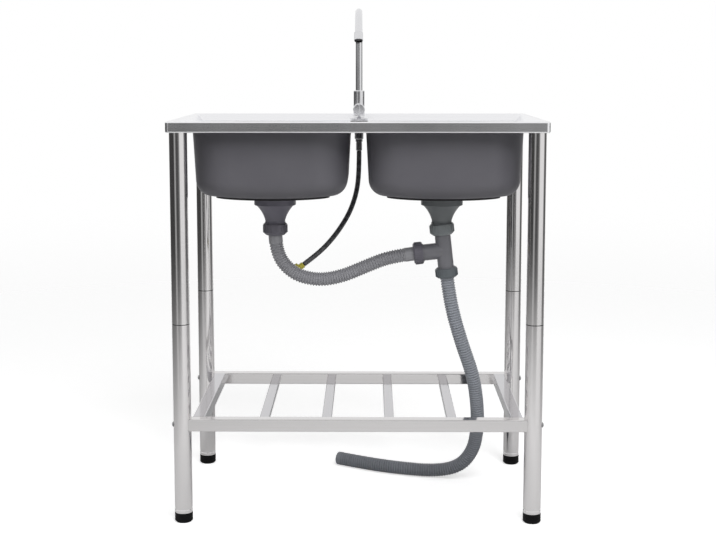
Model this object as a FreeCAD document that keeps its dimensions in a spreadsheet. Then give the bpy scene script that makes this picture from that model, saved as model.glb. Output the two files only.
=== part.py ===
import FreeCAD, Part
import math
import os
from types import SimpleNamespace

import Sketcher

# Free-standing double sink: millimetres, origin on the floor below the middle of the deck,
# +X to the right, +Y to the back, +Z up. Every size below is a cell of the sheet.
SIZES = {
    # deck
    "deck_width": 760,
    "deck_depth": 440,
    "rim_height": 820,
    "sheet": 1,
    "apron_height": 22,
    "hem_width": 4.5,
    "hem_bend": 3,
    "deck_corner": 8,
    "rim_width": 11,
    "rim_drop": 16,
    "rim_draft": 35,
    "recess_corner": 24,
    # bowls
    "bowl_gap": 32,
    "bowl_front": 38,
    "bowl_side": 40,
    "bowl_rear": 72,
    "bowl_depth": 149,
    "bowl_dome": 1400,
    "bowl_draft": 3,
    "bowl_corner": 80,
    "bowl_fillet": 34,
    "lip_width": 9,
    "lip_bend": 6,
    "seat_radius": 59,
    "seat_drop": 1.5,
    "waste_hole": 44,
    "cup_depth": 16.5,
    "pad_inset": 44,
    "pad_corner": 62,
    "pad_sheet": 4,
    "pad_glue": 0.15,
    "pad_hole": 64,
    # legs
    "leg_inset": 23,
    "leg_radius": 18,
    "leg_wall": 1.2,
    "joint_height": 412,
    "coupler_length": 90,
    "plate_sheet": 3,
    "spigot_length": 60,
    "foot_height": 20,
    # shelf
    "shelf_height": 204,
    "rail_side": 25,
    "rail_wall": 1.2,
    "side_rail_inset": 32,
    "slat_count": 4,
    "slat_width": 20,
    "slat_height": 12,
    "bolt_radius": 3,
    # tap
    "tap_rear": 68,
    "tap_gasket": 2,
    "tap_body_height": 68,
    "tap_body_radius": 12.5,
    "tap_flange_radius": 19.5,
    "shank_radius": 10.2,
    "shank_length": 41,
    "valve_height": 27,
    "boss_length": 22,
    "knob_radius": 13,
    "knob_depth": 12,
    "spout_radius": 7.8,
    "spout_bore": 6.4,
    "spout_rise": 103,
    "spout_bend": 68,
    "spout_turn": 160,
    # wastes
    "waste_gasket": 3,
    "waste_drop": 66,
    "funnel_rim": 44.5,
    "tail_radius": 22.6,
    "nut_radius": 25.4,
    "tee_lean": 6.5,
    "tee_radius": 17,
    "tee_branch": 51.5,
    "tee_drop": 101.6,
    "tee_nut_radius": 23.2,
    # hoses
    "hose_radius": 15,
    "hose_root": 13.2,
    "hose_bore": 11.4,
    "hose_cuff": 30,
    "rib_pitch": 5.6,
    "supply_radius": 5.5,
    "supply_bore": 3.5,
}

doc = FreeCAD.newDocument("camping_sink")
sheet = doc.addObject("Spreadsheet::Sheet", "Sizes")
for row, (name, number) in enumerate(SIZES.items(), start=1):
    sheet.set(f"A{row}", name)
    sheet.set(f"B{row}", str(number))
    sheet.setAlias(f"B{row}", name)
doc.recompute()

Vector = FreeCAD.Vector


class Size:
    """A number together with the sheet expression that gives it."""

    def __init__(self, value, text):
        self.value = float(value)
        self.text = text

    def combine(self, other, sign, value):
        return Size(value, f"({self.text} {sign} {as_size(other).text})")

    def __add__(self, other):
        return self.combine(other, "+", self.value + as_size(other).value)

    def __sub__(self, other):
        return self.combine(other, "-", self.value - as_size(other).value)

    def __mul__(self, other):
        return self.combine(other, "*", self.value * as_size(other).value)

    def __truediv__(self, other):
        return self.combine(other, "/", self.value / as_size(other).value)

    def __neg__(self):
        return Size(-self.value, f"(0 - {self.text})")

    def __radd__(self, other):
        return as_size(other) + self

    def __rsub__(self, other):
        return as_size(other) - self

    def __rmul__(self, other):
        return as_size(other) * self


def as_size(number):
    """A plain number as a Size, so that both kinds can be mixed."""
    if isinstance(number, Size):
        return number
    return Size(number, f"({float(number)})")


def tangent(angle):
    """The tangent of an angle in degrees that is held in the sheet."""
    return Size(math.tan(math.radians(angle.value)), f"tan({angle.text} * 1 deg)")


def cosine(angle):
    """The cosine of an angle in degrees that is held in the sheet."""
    return Size(math.cos(math.radians(angle.value)), f"cos({angle.text} * 1 deg)")


def dome_rise(radius, reach, skin):
    """How far a dome has risen at a reach from its axis, above the foot of the dome without the skin."""
    whole = radius + skin
    height = radius.value - math.sqrt(whole.value ** 2 - reach.value ** 2)
    return Size(height, f"({radius.text} - sqrt({whole.text} * {whole.text} - {reach.text} * {reach.text}))")


d = SimpleNamespace(**{name: Size(sheet.get(name), f"Sizes.{name}") for name in SIZES})

# Sizes that follow from the deck
d.bowl_width = (d.deck_width - d.bowl_gap) / 2 - d.bowl_side
d.bowl_length = d.deck_depth - d.bowl_front - d.bowl_rear
d.pad_width = d.bowl_width - d.pad_inset * 2
d.pad_length = d.bowl_length - d.pad_inset * 2
d.leg_x = d.deck_width / 2 - d.leg_inset
d.leg_y = d.deck_depth / 2 - d.leg_inset
d.side_rail_x = d.leg_x - d.side_rail_inset
d.slat_pitch = d.side_rail_x * 2 / (d.slat_count + 1)
d.tap_y = d.deck_depth / 2 - d.tap_rear


# Building helpers
def new_body(label):
    body = doc.addObject("PartDesign::Body", label)
    body.Label = label
    return body


def move_to(item, x=0, y=0, z=0):
    """Bind the placement of an object to the sheet."""
    for axis, size in zip("xyz", (x, y, z)):
        item.setExpression(f"Placement.Base.{axis}", as_size(size).text)
    return item


def turn(item, axis, angle):
    item.Placement = FreeCAD.Placement(Vector(0, 0, 0), FreeCAD.Rotation(axis, angle))
    return item


def new_sketch(body, role, offset=0):
    """A sketch on one of the body's own origin planes, moved along the plane's normal."""
    sketch = body.newObject("Sketcher::SketchObject", "Sketch")
    support = next(plane for plane in body.Origin.OriginFeatures if plane.Role == role)
    sketch.AttachmentSupport = [(support, "")]
    sketch.MapMode = "FlatFace"
    sketch.setExpression("AttachmentOffset.Base.z", as_size(offset).text)
    return sketch


def fix_point(sketch, index, corner, x, y):
    """Tie a point of the sketch to its two coordinates."""
    for kind, size in (("DistanceX", as_size(x)), ("DistanceY", as_size(y))):
        place = sketch.addConstraint(Sketcher.Constraint(kind, -1, 1, index, corner, size.value))
        sketch.setExpression(f"Constraints[{place}]", size.text)


def draw_loop(sketch, corners):
    """A closed loop. A corner is (x, y), or (x, y, radius) where an arc leads to the next corner:
    a positive radius turns left and a negative one turns right."""
    first = sketch.GeometryCount
    ends = []
    for number, corner in enumerate(corners):
        follower = corners[(number + 1) % len(corners)]
        start = Vector(as_size(corner[0]).value, as_size(corner[1]).value, 0)
        finish = Vector(as_size(follower[0]).value, as_size(follower[1]).value, 0)
        index = first + number
        if len(corner) == 2:
            sketch.addGeometry(Part.LineSegment(start, finish), False)
            ends.append((1, 2))
            continue
        radius = as_size(corner[2])
        size = abs(radius.value)
        left = radius.value > 0
        chord = finish - start
        side = Vector(-chord.y, chord.x, 0).normalize() * (1 if left else -1)
        reach = math.sqrt(max(size ** 2 - (chord.Length / 2) ** 2, 0))
        centre = (start + finish) * 0.5 + side * reach
        begin, end = (start, finish) if left else (finish, start)
        angles = [math.atan2(point.y - centre.y, point.x - centre.x) for point in (begin, end)]
        circle = Part.Circle(centre, Vector(0, 0, 1), size)
        sketch.addGeometry(Part.ArcOfCircle(circle, angles[0], angles[1]), False)
        ends.append((1, 2) if left else (2, 1))
        place = sketch.addConstraint(Sketcher.Constraint("Radius", index, size))
        sketch.setExpression(f"Constraints[{place}]", radius.text if left else (-radius).text)
    for number in range(len(corners)):
        after = (number + 1) % len(corners)
        sketch.addConstraint(
            Sketcher.Constraint("Coincident", first + number, ends[number][1], first + after, ends[after][0])
        )
    for number, corner in enumerate(corners):
        fix_point(sketch, first + number, ends[number][0], corner[0], corner[1])


def draw_circle(sketch, radius, x=0, y=0):
    radius = as_size(radius)
    centre = Vector(as_size(x).value, as_size(y).value, 0)
    index = sketch.addGeometry(Part.Circle(centre, Vector(0, 0, 1), radius.value), False)
    fix_point(sketch, index, 3, x, y)
    place = sketch.addConstraint(Sketcher.Constraint("Radius", index, radius.value))
    sketch.setExpression(f"Constraints[{place}]", radius.text)


def rectangle(half_x, half_y, x=0, y=0):
    """The corners of a rectangle around (x, y)."""
    half_x, half_y, x, y = (as_size(number) for number in (half_x, half_y, x, y))
    return [
        (x - half_x, y - half_y),
        (x + half_x, y - half_y),
        (x + half_x, y + half_y),
        (x - half_x, y + half_y),
    ]


def rounded_rectangle(half_x, half_y, radius):
    """The corners of a rectangle around the origin, with an arc at each one."""
    flat_x = half_x - radius
    flat_y = half_y - radius
    return [
        (-flat_x, -half_y),
        (flat_x, -half_y, radius),
        (half_x, -flat_y),
        (half_x, flat_y, radius),
        (flat_x, half_y),
        (-flat_x, half_y, radius),
        (-half_x, flat_y),
        (-half_x, -flat_y, radius),
    ]


def revolve(body, corners, kind="PartDesign::Revolution"):
    """Turn a loop of (radius, height) corners about the body's Z axis."""
    sketch = new_sketch(body, "XZ_Plane")
    draw_loop(sketch, corners)
    feature = body.newObject(kind, "Revolution")
    feature.Profile = sketch
    feature.ReferenceAxis = (sketch, ["V_Axis"])
    feature.Angle = 360
    return feature


def extrude(body, kind, sketch, length, reverse=False, both=False, taper=0):
    """A pad or a pocket with its length bound to the sheet."""
    feature = body.newObject(kind, "Extrusion")
    feature.Profile = sketch
    feature.setExpression("Length", as_size(length).text)
    feature.Reversed = reverse
    if both:
        feature.SideType = "Symmetric"
    if isinstance(taper, Size):
        feature.setExpression("TaperAngle", taper.text)
    return feature


def pad(body, sketch, length, **options):
    return extrude(body, "PartDesign::Pad", sketch, length, **options)


def pocket(body, sketch, length, **options):
    return extrude(body, "PartDesign::Pocket", sketch, length, **options)


def round_edges(body, radius, wanted):
    """Fillet the edges of the body so far that the test picks out."""
    doc.recompute()
    base = body.Tip
    names = [f"Edge{number}" for number, edge in enumerate(base.Shape.Edges, start=1) if wanted(edge)]
    feature = body.newObject("PartDesign::Fillet", "Fillet")
    feature.Base = (base, names)
    feature.setExpression("Radius", as_size(radius).text)
    return feature


def repeat_round(body, feature, count):
    """Repeat a feature evenly about the body's Z axis."""
    pattern = body.newObject("PartDesign::PolarPattern", "Pattern")
    pattern.Originals = [feature]
    pattern.Axis = (next(axis for axis in body.Origin.OriginFeatures if axis.Role == "Z_Axis"), [""])
    pattern.Angle = 360
    pattern.Occurrences = count
    body.Tip = pattern
    return pattern


def upright(edge):
    """True for a straight edge that is nearer to vertical than to level."""
    if edge.Curve.TypeId != "Part::GeomLine":
        return False
    return abs(edge.tangentAt(edge.FirstParameter).z) > 0.5


def level_at(height):
    """A test for edges that lie in one level plane."""
    def wanted(edge):
        box = edge.BoundBox
        return abs(box.ZMin - height) < 0.01 and abs(box.ZMax - height) < 0.01
    return wanted


def group(label, members):
    """Identical pieces that share one node as separate solids."""
    item = doc.addObject("Part::Compound", label)
    item.Label = label
    item.Links = members
    return item


def cut(label, base, tools):
    """One object with others taken out of it."""
    tool = tools[0]
    if len(tools) > 1:
        tool = doc.addObject("Part::MultiFuse", label + "_tools")
        tool.Shapes = tools
    item = doc.addObject("Part::Cut", label)
    item.Label = label
    item.Base = base
    item.Tool = tool
    return item


def shared_part(label, first, second):
    """The space that two objects have in common."""
    item = doc.addObject("Part::Common", label)
    item.Label = label
    item.Base = first
    item.Tool = second
    return item


nodes = []


def keep(item):
    """Put a finished piece on the list of nodes to export."""
    nodes.append(item)
    return item


# Positions that several pieces share
floor_z = d.rim_height - d.rim_drop
bowl_x = (d.bowl_gap + d.bowl_width) / 2
bowl_y = d.bowl_front + d.bowl_length / 2 - d.deck_depth / 2
bottom_z = floor_z - d.bowl_depth
seat_z = bottom_z - d.seat_drop
under_z = seat_z - d.sheet
nut_pivot = seat_z - d.waste_drop
leg_top = floor_z - d.sheet - d.plate_sheet
leg_bore = d.leg_radius - d.leg_wall
SIDES = {"left": -1, "right": 1}
CORNERS = {
    "front_left": (-1, -1, 0),
    "front_right": (1, -1, 90),
    "rear_right": (1, 1, 180),
    "rear_left": (-1, 1, 270),
}


# Deck: the same form is built twice, the second one a sheet thickness inside the first
def deck_form(label, inset):
    """A block with rounded edges and the recess that leaves the raised rim."""
    body = new_body(label)
    inset = as_size(inset)
    half_x = d.deck_width / 2 - inset
    half_y = d.deck_depth / 2 - inset
    step = d.rim_width + inset * tangent(d.rim_draft) - inset / cosine(d.rim_draft)
    sketch = new_sketch(body, "XY_Plane", -inset)
    draw_loop(sketch, rectangle(half_x, half_y))
    pad(body, sketch, d.apron_height - inset * 2, reverse=True)
    round_edges(body, d.deck_corner - inset, upright)
    round_edges(body, d.hem_bend - inset, level_at((inset - d.apron_height).value))
    sketch = new_sketch(body, "XY_Plane", -inset)
    corner = d.recess_corner + inset
    draw_loop(sketch, rounded_rectangle(d.deck_width / 2 - step, d.deck_depth / 2 - step, corner))
    pocket(body, sketch, d.rim_drop, taper=-d.rim_draft)
    recess_x = (d.deck_width / 2 - step).value + 0.1
    top = -inset.value
    recess_y = (d.deck_depth / 2 - step).value + 0.1

    def rim_inside(edge):
        box = edge.BoundBox
        inside = max(abs(box.XMin), abs(box.XMax)) < recess_x and max(abs(box.YMin), abs(box.YMax)) < recess_y
        return inside and level_at(top)(edge)

    round_edges(body, 4 - inset, rim_inside)
    round_edges(body, 8 + inset, level_at(top - d.rim_drop.value))
    round_edges(
        body,
        2.5 - inset,
        lambda edge: level_at(top)(edge) and max(abs(edge.BoundBox.XMin), abs(edge.BoundBox.XMax)) > recess_x
        or level_at(top)(edge) and max(abs(edge.BoundBox.YMin), abs(edge.BoundBox.YMax)) > recess_y,
    )
    return body


def rounded_block(label, half_x, half_y, radius, low, high):
    """An upright block with rounded corners, used as a cutter."""
    body = new_body(label)
    sketch = new_sketch(body, "XY_Plane", low)
    draw_loop(sketch, rectangle(half_x, half_y))
    pad(body, sketch, high - as_size(low))
    round_edges(body, radius, upright)
    return body


deck_outside = deck_form("deck_outside", 0)
deck_inside = deck_form("deck_inside", d.sheet)
cutters = [deck_inside]
cutters.append(
    rounded_block(
        "hem_window",
        d.deck_width / 2 - d.hem_width,
        d.deck_depth / 2 - d.hem_width,
        d.deck_corner,
        -d.apron_height - 1,
        -d.apron_height + d.sheet * 2,
    )
)
for side, sign in SIDES.items():
    opening = rounded_block(
        side + "_opening",
        d.bowl_width / 2 + d.lip_width,
        d.bowl_length / 2 + d.lip_width,
        d.bowl_corner + d.lip_width,
        -d.apron_height - 1,
        as_size(1),
    )
    cutters.append(move_to(opening, bowl_x * sign, bowl_y, 0))
tap_hole = doc.addObject("Part::Cylinder", "tap_hole")
tap_hole.setExpression("Radius", (d.shank_radius + 0.8).text)
tap_hole.setExpression("Height", (d.apron_height + 2).text)
cutters.append(move_to(tap_hole, 0, d.tap_y, -d.apron_height - 1))
keep(move_to(cut("sink_deck", deck_outside, cutters), 0, 0, d.rim_height))


# Bowls: drawn shells with a rolled lip, a domed bottom, a pressed seat and the waste hole.
# Like the deck, each one is an outer form with an inner form taken out of it
def bowl_form(label, inset, plate_top, bend):
    """Tapered walls that bend out into a plate at the lip, on a bottom that falls to the middle."""
    body = new_body(label)
    inset = as_size(inset)
    plate_top = as_size(plate_top)
    half_x = d.bowl_width / 2
    half_y = d.bowl_length / 2
    depth = d.bowl_depth + d.sheet - inset
    sketch = new_sketch(body, "XY_Plane")
    draw_loop(sketch, rounded_rectangle(half_x - inset, half_y - inset, d.bowl_corner - inset))
    pad(body, sketch, depth + 2, reverse=True, taper=-d.bowl_draft)
    sketch = new_sketch(body, "XY_Plane", plate_top)
    draw_loop(sketch, rectangle(half_x + d.lip_width, half_y + d.lip_width))
    pad(body, sketch, d.sheet, reverse=True)
    round_edges(
        body,
        d.bowl_corner + d.lip_width,
        lambda edge: upright(edge) and edge.Length < d.sheet.value * 1.5,
    )
    reach_x = (half_x + d.lip_width / 2).value
    reach_y = (half_y + d.lip_width / 2).value
    plate_low = (plate_top - d.sheet).value

    def wall_edge(edge):
        box = edge.BoundBox
        inside = max(abs(box.XMin), abs(box.XMax)) < reach_x and max(abs(box.YMin), abs(box.YMax)) < reach_y
        return inside and level_at(plate_low)(edge)

    round_edges(body, bend, wall_edge)
    dome = d.bowl_dome + d.sheet - inset
    reach = d.bowl_width
    rise = dome_rise(dome, reach, as_size(0))
    below = -depth - 3
    under_dome = [(0, -depth, dome), (reach, rise - depth), (reach, below), (0, below)]
    revolve(body, under_dome, "PartDesign::Groove")
    round_edges(body, d.bowl_fillet - inset, lambda edge: edge.BoundBox.ZMax < -depth.value / 2)
    sketch = new_sketch(body, "XY_Plane", -depth - d.seat_drop)
    draw_circle(sketch, d.seat_radius + d.sheet - inset)
    pad(body, sketch, d.seat_drop + 4)
    return body


def make_bowl(side, sign):
    outside = bowl_form(side + "_bowl_outside", 0, 0, d.lip_bend - d.sheet)
    inside = bowl_form(side + "_bowl_inside", d.sheet, d.sheet, d.lip_bend)
    sketch = new_sketch(inside, "XY_Plane", -d.bowl_depth - d.seat_drop - d.sheet * 2)
    draw_circle(sketch, d.waste_hole)
    pad(inside, sketch, d.seat_drop + d.sheet * 4)
    bowl = cut(side + "_bowl", outside, [inside])
    return keep(move_to(bowl, bowl_x * sign, bowl_y, floor_z))


def make_sound_pad(side, sign):
    """A sheet that is glued under the domed bottom."""
    layer = new_body(side + "_pad_layer")
    dome = d.bowl_dome + d.sheet
    reach = d.bowl_width
    top = d.pad_glue
    under = d.pad_glue + d.pad_sheet
    revolve(
        layer,
        [
            (d.pad_hole, dome_rise(dome, d.pad_hole, under), dome + under),
            (reach, dome_rise(dome, reach, under)),
            (reach, dome_rise(dome, reach, top), -(dome + top)),
            (d.pad_hole, dome_rise(dome, d.pad_hole, top)),
        ],
    )
    outline = rounded_block(
        side + "_pad_outline", d.pad_width / 2, d.pad_length / 2, d.pad_corner, -as_size(20), as_size(40)
    )
    sheet_part = shared_part(side + "_sound_pad", layer, outline)
    return keep(move_to(sheet_part, bowl_x * sign, bowl_y, bottom_z - d.sheet))


for side, sign in SIDES.items():
    make_bowl(side, sign)
    make_sound_pad(side, sign)


# Legs: sockets under the deck, two tubes with a coupler inside, a push-in foot
def make_socket(name, sign_x, sign_y, angle):
    body = new_body(name + "_socket")
    sketch = new_sketch(body, "XY_Plane")
    draw_loop(sketch, rectangle(24, 24, 4, 4))
    pad(body, sketch, d.plate_sheet)
    round_edges(body, 6, upright)
    outer = leg_bore - 0.15
    revolve(body, [(outer - 2, 0), (outer - 2, -d.spigot_length), (outer, -d.spigot_length), (outer, 0)])
    for role in ("XZ_Plane", "YZ_Plane"):
        sketch = new_sketch(body, role)
        draw_circle(sketch, 2.1, 0, -(d.spigot_length / 2))
        pocket(body, sketch, d.leg_radius * 4, both=True)
    turn(body, Vector(0, 0, 1), angle)
    return move_to(body, d.leg_x * sign_x, d.leg_y * sign_y, leg_top)


def make_socket_screw(name, sign_x, sign_y):
    body = new_body(name + "_socket_screw")
    start = as_size(0.15)
    revolve(
        body,
        [
            (0, -14),
            (1.5, -14),
            (2, -12),
            (2, start),
            (4, start),
            (4, start + 1.2),
            (2.5, start + 2.4),
            (0, start + 2.4),
        ],
    )
    turn(body, Vector(1, 0, 0), 90 * sign_y)
    return move_to(
        body,
        d.leg_x * sign_x,
        (d.leg_y - d.leg_radius) * sign_y,
        leg_top - d.spigot_length / 2,
    )


def make_upper_leg(name, sign_x, sign_y):
    body = new_body(name + "_upper_leg")
    length = leg_top - d.joint_height
    edge = 0.5
    revolve(
        body,
        [
            (leg_bore, 0),
            (d.leg_radius - edge, 0),
            (d.leg_radius, edge),
            (d.leg_radius, length),
            (leg_bore, length),
        ],
    )
    sketch = new_sketch(body, "XZ_Plane")
    draw_circle(sketch, 2.3, 0, length - d.spigot_length / 2)
    pocket(body, sketch, d.leg_radius * 2, reverse=sign_y > 0)
    return keep(move_to(body, d.leg_x * sign_x, d.leg_y * sign_y, d.joint_height))


def make_lower_leg(name, sign_x, sign_y):
    body = new_body(name + "_lower_leg")
    length = d.joint_height - d.foot_height
    edge = 0.5
    bead = 0.55
    revolve(
        body,
        [
            (leg_bore, 0),
            (d.leg_radius - edge, 0),
            (d.leg_radius, edge),
            (d.leg_radius, 6),
            (d.leg_radius - bead, 7.2),
            (d.leg_radius - bead, 9),
            (d.leg_radius, 10.2),
            (d.leg_radius, length - edge),
            (d.leg_radius - edge, length),
            (leg_bore, length),
        ],
    )
    sketch = new_sketch(body, "YZ_Plane")
    draw_circle(sketch, d.bolt_radius + 0.2, 0, d.shelf_height - d.foot_height)
    pocket(body, sketch, d.leg_radius * 4, both=True)
    return keep(move_to(body, d.leg_x * sign_x, d.leg_y * sign_y, d.foot_height))


def make_coupler(name, sign_x, sign_y):
    body = new_body(name + "_coupler")
    outer = leg_bore - 0.1
    half = d.coupler_length / 2
    revolve(
        body,
        [
            (outer - 2, -half),
            (outer - 1, -half),
            (outer, 1 - half),
            (outer, half - 1),
            (outer - 1, half),
            (outer - 2, half),
        ],
    )
    return move_to(body, d.leg_x * sign_x, d.leg_y * sign_y, d.joint_height)


def make_foot(name, sign_x, sign_y):
    body = new_body(name + "_foot")
    outer = d.leg_radius + 0.4
    ring = outer - 0.7
    plug = leg_bore - 0.15
    top = d.foot_height
    revolve(
        body,
        [
            (0, 0),
            (outer - 3.2, 0),
            (outer, 3.2, ),
            (outer, 6.6),
            (ring, 7.3),
            (ring, 8.3),
            (outer, 9),
            (outer, 12),
            (ring, 12.7),
            (ring, 13.7),
            (outer, 14.4),
            (outer, top - 1),
            (outer - 0.6, top),
            (plug, top),
            (plug, top + 18),
            (plug - 1.5, top + 22),
            (0, top + 22),
        ],
    )
    return keep(move_to(body, d.leg_x * sign_x, d.leg_y * sign_y, 0))


sockets = []
socket_screws = []
couplers = []
for name, (sign_x, sign_y, angle) in CORNERS.items():
    sockets.append(make_socket(name, sign_x, sign_y, angle))
    socket_screws.append(make_socket_screw(name, sign_x, sign_y))
    couplers.append(make_coupler(name, sign_x, sign_y))
    make_upper_leg(name, sign_x, sign_y)
    make_lower_leg(name, sign_x, sign_y)
    make_foot(name, sign_x, sign_y)
keep(group("leg_sockets", sockets))
keep(group("socket_screws", socket_screws))
keep(group("leg_couplers", couplers))


# Shelf: square tubes coped to the legs, side rails and flat slats between them
def square_tube(label, role, half_across, half_up, half_length, wall):
    """A tube along X (drawn on YZ) or along Y (drawn on XZ), centred on its body."""
    body = new_body(label)
    sketch = new_sketch(body, role)
    draw_loop(sketch, rectangle(half_across, half_up))
    pad(body, sketch, half_length * 2, both=True)
    long_way = Vector(1, 0, 0) if role == "YZ_Plane" else Vector(0, 1, 0)
    round_edges(body, 1.8, lambda edge: abs(edge.tangentAt(edge.FirstParameter).dot(long_way)) > 0.99)
    sketch = new_sketch(body, role)
    draw_loop(sketch, rectangle(half_across - wall, half_up - wall))
    pocket(body, sketch, half_length * 4, both=True)
    return body


rail_half = d.rail_side / 2
plug_length = 22
rail_plugs = []
bolts = []
for name, sign in (("front", -1), ("rear", 1)):
    rail = square_tube(f"shelf_{name}_rail", "YZ_Plane", rail_half, rail_half, d.leg_x, d.rail_wall)
    for end in (-1, 1):
        sketch = new_sketch(rail, "XY_Plane")
        draw_circle(sketch, d.leg_radius + 0.1, d.leg_x * end, 0)
        pocket(rail, sketch, d.rail_side * 2, both=True)
        plug = new_body(f"{name}_plug_{end}")
        sketch = new_sketch(plug, "YZ_Plane")
        draw_loop(sketch, rectangle(rail_half - d.rail_wall - 0.05, rail_half - d.rail_wall - 0.05))
        draw_circle(sketch, d.bolt_radius + 0.05)
        pad(plug, sketch, plug_length, both=True)
        reach = d.leg_x - d.leg_radius - 2 - plug_length / 2
        rail_plugs.append(move_to(plug, reach * end, d.leg_y * sign, d.shelf_height))
        bolt = new_body(f"{name}_bolt_{end}")
        revolve(
            bolt,
            [
                (0, -3.2),
                (2.4, -3.2, 4.2),
                (5.5, -1.2),
                (5.5, 0),
                (d.bolt_radius, 0),
                (d.bolt_radius, d.leg_radius * 2 + plug_length),
                (0, d.leg_radius * 2 + plug_length),
            ],
        )
        turn(bolt, Vector(0, 1, 0), -90 * end)
        bolts.append(move_to(bolt, (d.leg_x + d.leg_radius) * end, d.leg_y * sign, d.shelf_height))
    keep(move_to(rail, 0, d.leg_y * sign, d.shelf_height))
keep(group("rail_plugs", rail_plugs))
keep(group("shelf_bolts", bolts))

side_half = d.leg_y - rail_half
for side, sign in SIDES.items():
    rail = square_tube(f"shelf_{side}_rail", "XZ_Plane", rail_half, rail_half, side_half, d.rail_wall)
    keep(move_to(rail, d.side_rail_x * sign, 0, d.shelf_height))
middle_slat = (d.slat_count - 1) / 2
for number in range(int(d.slat_count.value)):
    slat = square_tube(
        f"shelf_slat_{number + 1}", "XZ_Plane", d.slat_width / 2, d.slat_height / 2, side_half, d.rail_wall
    )
    drop = rail_half - d.slat_height / 2
    keep(move_to(slat, d.slat_pitch * (number - middle_slat), 0, d.shelf_height - drop))


# Tap: body with shank and valve boss, knob on a spindle, swivel spout
tap_z = floor_z + d.tap_gasket
gasket = new_body("tap_gasket")
hole = d.shank_radius + 0.2
revolve(
    gasket,
    [(hole, 0), (d.tap_flange_radius, 0), (d.tap_flange_radius, d.tap_gasket), (hole, d.tap_gasket)],
)
keep(move_to(gasket, 0, d.tap_y, floor_z))

socket_radius = 9.1
socket_depth = 24
tail_bore = 5.05
water_bore = 4.5
body_top = d.tap_body_height
tap = new_body("tap_body")
revolve(
    tap,
    [
        (tail_bore, -d.shank_length),
        (d.shank_radius - 1, -d.shank_length),
        (d.shank_radius, 1 - d.shank_length),
        (d.shank_radius, 0),
        (d.tap_flange_radius, 0),
        (d.tap_flange_radius, 5.5),
        (d.tap_flange_radius - 1.2, 7),
        (d.tap_body_radius + 1.2, 8.5, -6),
        (d.tap_body_radius, 12.5),
        (d.tap_body_radius, body_top - 1.8, 1.8),
        (d.tap_body_radius - 1.8, body_top),
        (socket_radius, body_top),
        (socket_radius, body_top - socket_depth),
        (water_bore, body_top - socket_depth),
        (water_bore, 16 - d.shank_length),
        (tail_bore, 16 - d.shank_length),
    ],
)
boss_radius = 11.5
chamber = 9
chamber_back = 5
sketch = new_sketch(tap, "XZ_Plane")
draw_circle(sketch, boss_radius, 0, d.valve_height)
pad(tap, sketch, d.boss_length)
sketch = new_sketch(tap, "XZ_Plane", -chamber_back)
draw_circle(sketch, chamber, 0, d.valve_height)
pocket(tap, sketch, d.boss_length + chamber_back + 1, reverse=True)
keep(move_to(tap, 0, d.tap_y, tap_z))

washer = new_body("tap_washer")
revolve(washer, [(hole, -2.5), (16.5, -2.5), (16.5, 0), (hole, 0)])
keep(move_to(washer, 0, d.tap_y, floor_z - d.sheet))

nut_height = 9
nut_prism = doc.addObject("Part::Prism", "lock_nut_prism")
nut_prism.Polygon = 6
nut_prism.Circumradius = 16.5
nut_prism.Height = nut_height
nut_bore = doc.addObject("Part::Cylinder", "lock_nut_bore")
nut_bore.setExpression("Radius", (d.shank_radius + 0.05).text)
nut_bore.Height = nut_height
lock_nut = cut("tap_lock_nut", nut_prism, [nut_bore])
keep(move_to(lock_nut, 0, d.tap_y, floor_z - d.sheet - 2.5 - nut_height))

# The valve pieces lie along the boss: their own Z axis points to the front
valve_z = tap_z + d.valve_height
FRONT = (Vector(1, 0, 0), 90)
stem_radius = 3
stem_hole = 3.05
cartridge = new_body("valve_cartridge")
revolve(
    cartridge,
    [
        (6.5, 0.2 - chamber_back),
        (chamber - 0.05, 0.2 - chamber_back),
        (chamber - 0.05, d.boss_length - 0.3),
        (stem_hole, d.boss_length - 0.3),
        (stem_hole, 3),
        (6.5, 3),
    ],
)
sketch = new_sketch(cartridge, "XZ_Plane")
draw_loop(sketch, rectangle(3.2, 3.2, 0, -1))
pocket(cartridge, sketch, 60, both=True)
turn(cartridge, *FRONT)
keep(move_to(cartridge, 0, d.tap_y, valve_z))

spindle = new_body("valve_spindle")
knob_back = d.boss_length + 0.6
revolve(
    spindle,
    [
        (0, -4),
        (6.4, -4),
        (6.4, 2.8),
        (stem_radius, 2.8),
        (stem_radius, knob_back + 8),
        (0, knob_back + 8),
    ],
)
sketch = new_sketch(spindle, "XZ_Plane")
draw_circle(sketch, 2, 0, -1)
pocket(spindle, sketch, 60, both=True)
turn(spindle, *FRONT)
keep(move_to(spindle, 0, d.tap_y, valve_z))

knob = new_body("tap_knob")
knob_front = knob_back + d.knob_depth
revolve(
    knob,
    [
        (stem_hole, knob_back),
        (d.knob_radius - 1, knob_back),
        (d.knob_radius, knob_back + 1),
        (d.knob_radius, knob_front - 2, 2),
        (d.knob_radius - 2, knob_front),
        (0, knob_front),
        (0, knob_back + 8.1),
        (stem_hole, knob_back + 8.1),
    ],
)
sketch = new_sketch(knob, "XY_Plane", knob_front - 1)
draw_loop(sketch, rectangle(2.6, d.knob_radius - 2.5))
pad(knob, sketch, 7.5)
grip_top = (knob_front + 6.5).value
round_edges(knob, 1.6, level_at(grip_top))
turn(knob, *FRONT)
keep(move_to(knob, 0, d.tap_y, valve_z))

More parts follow.
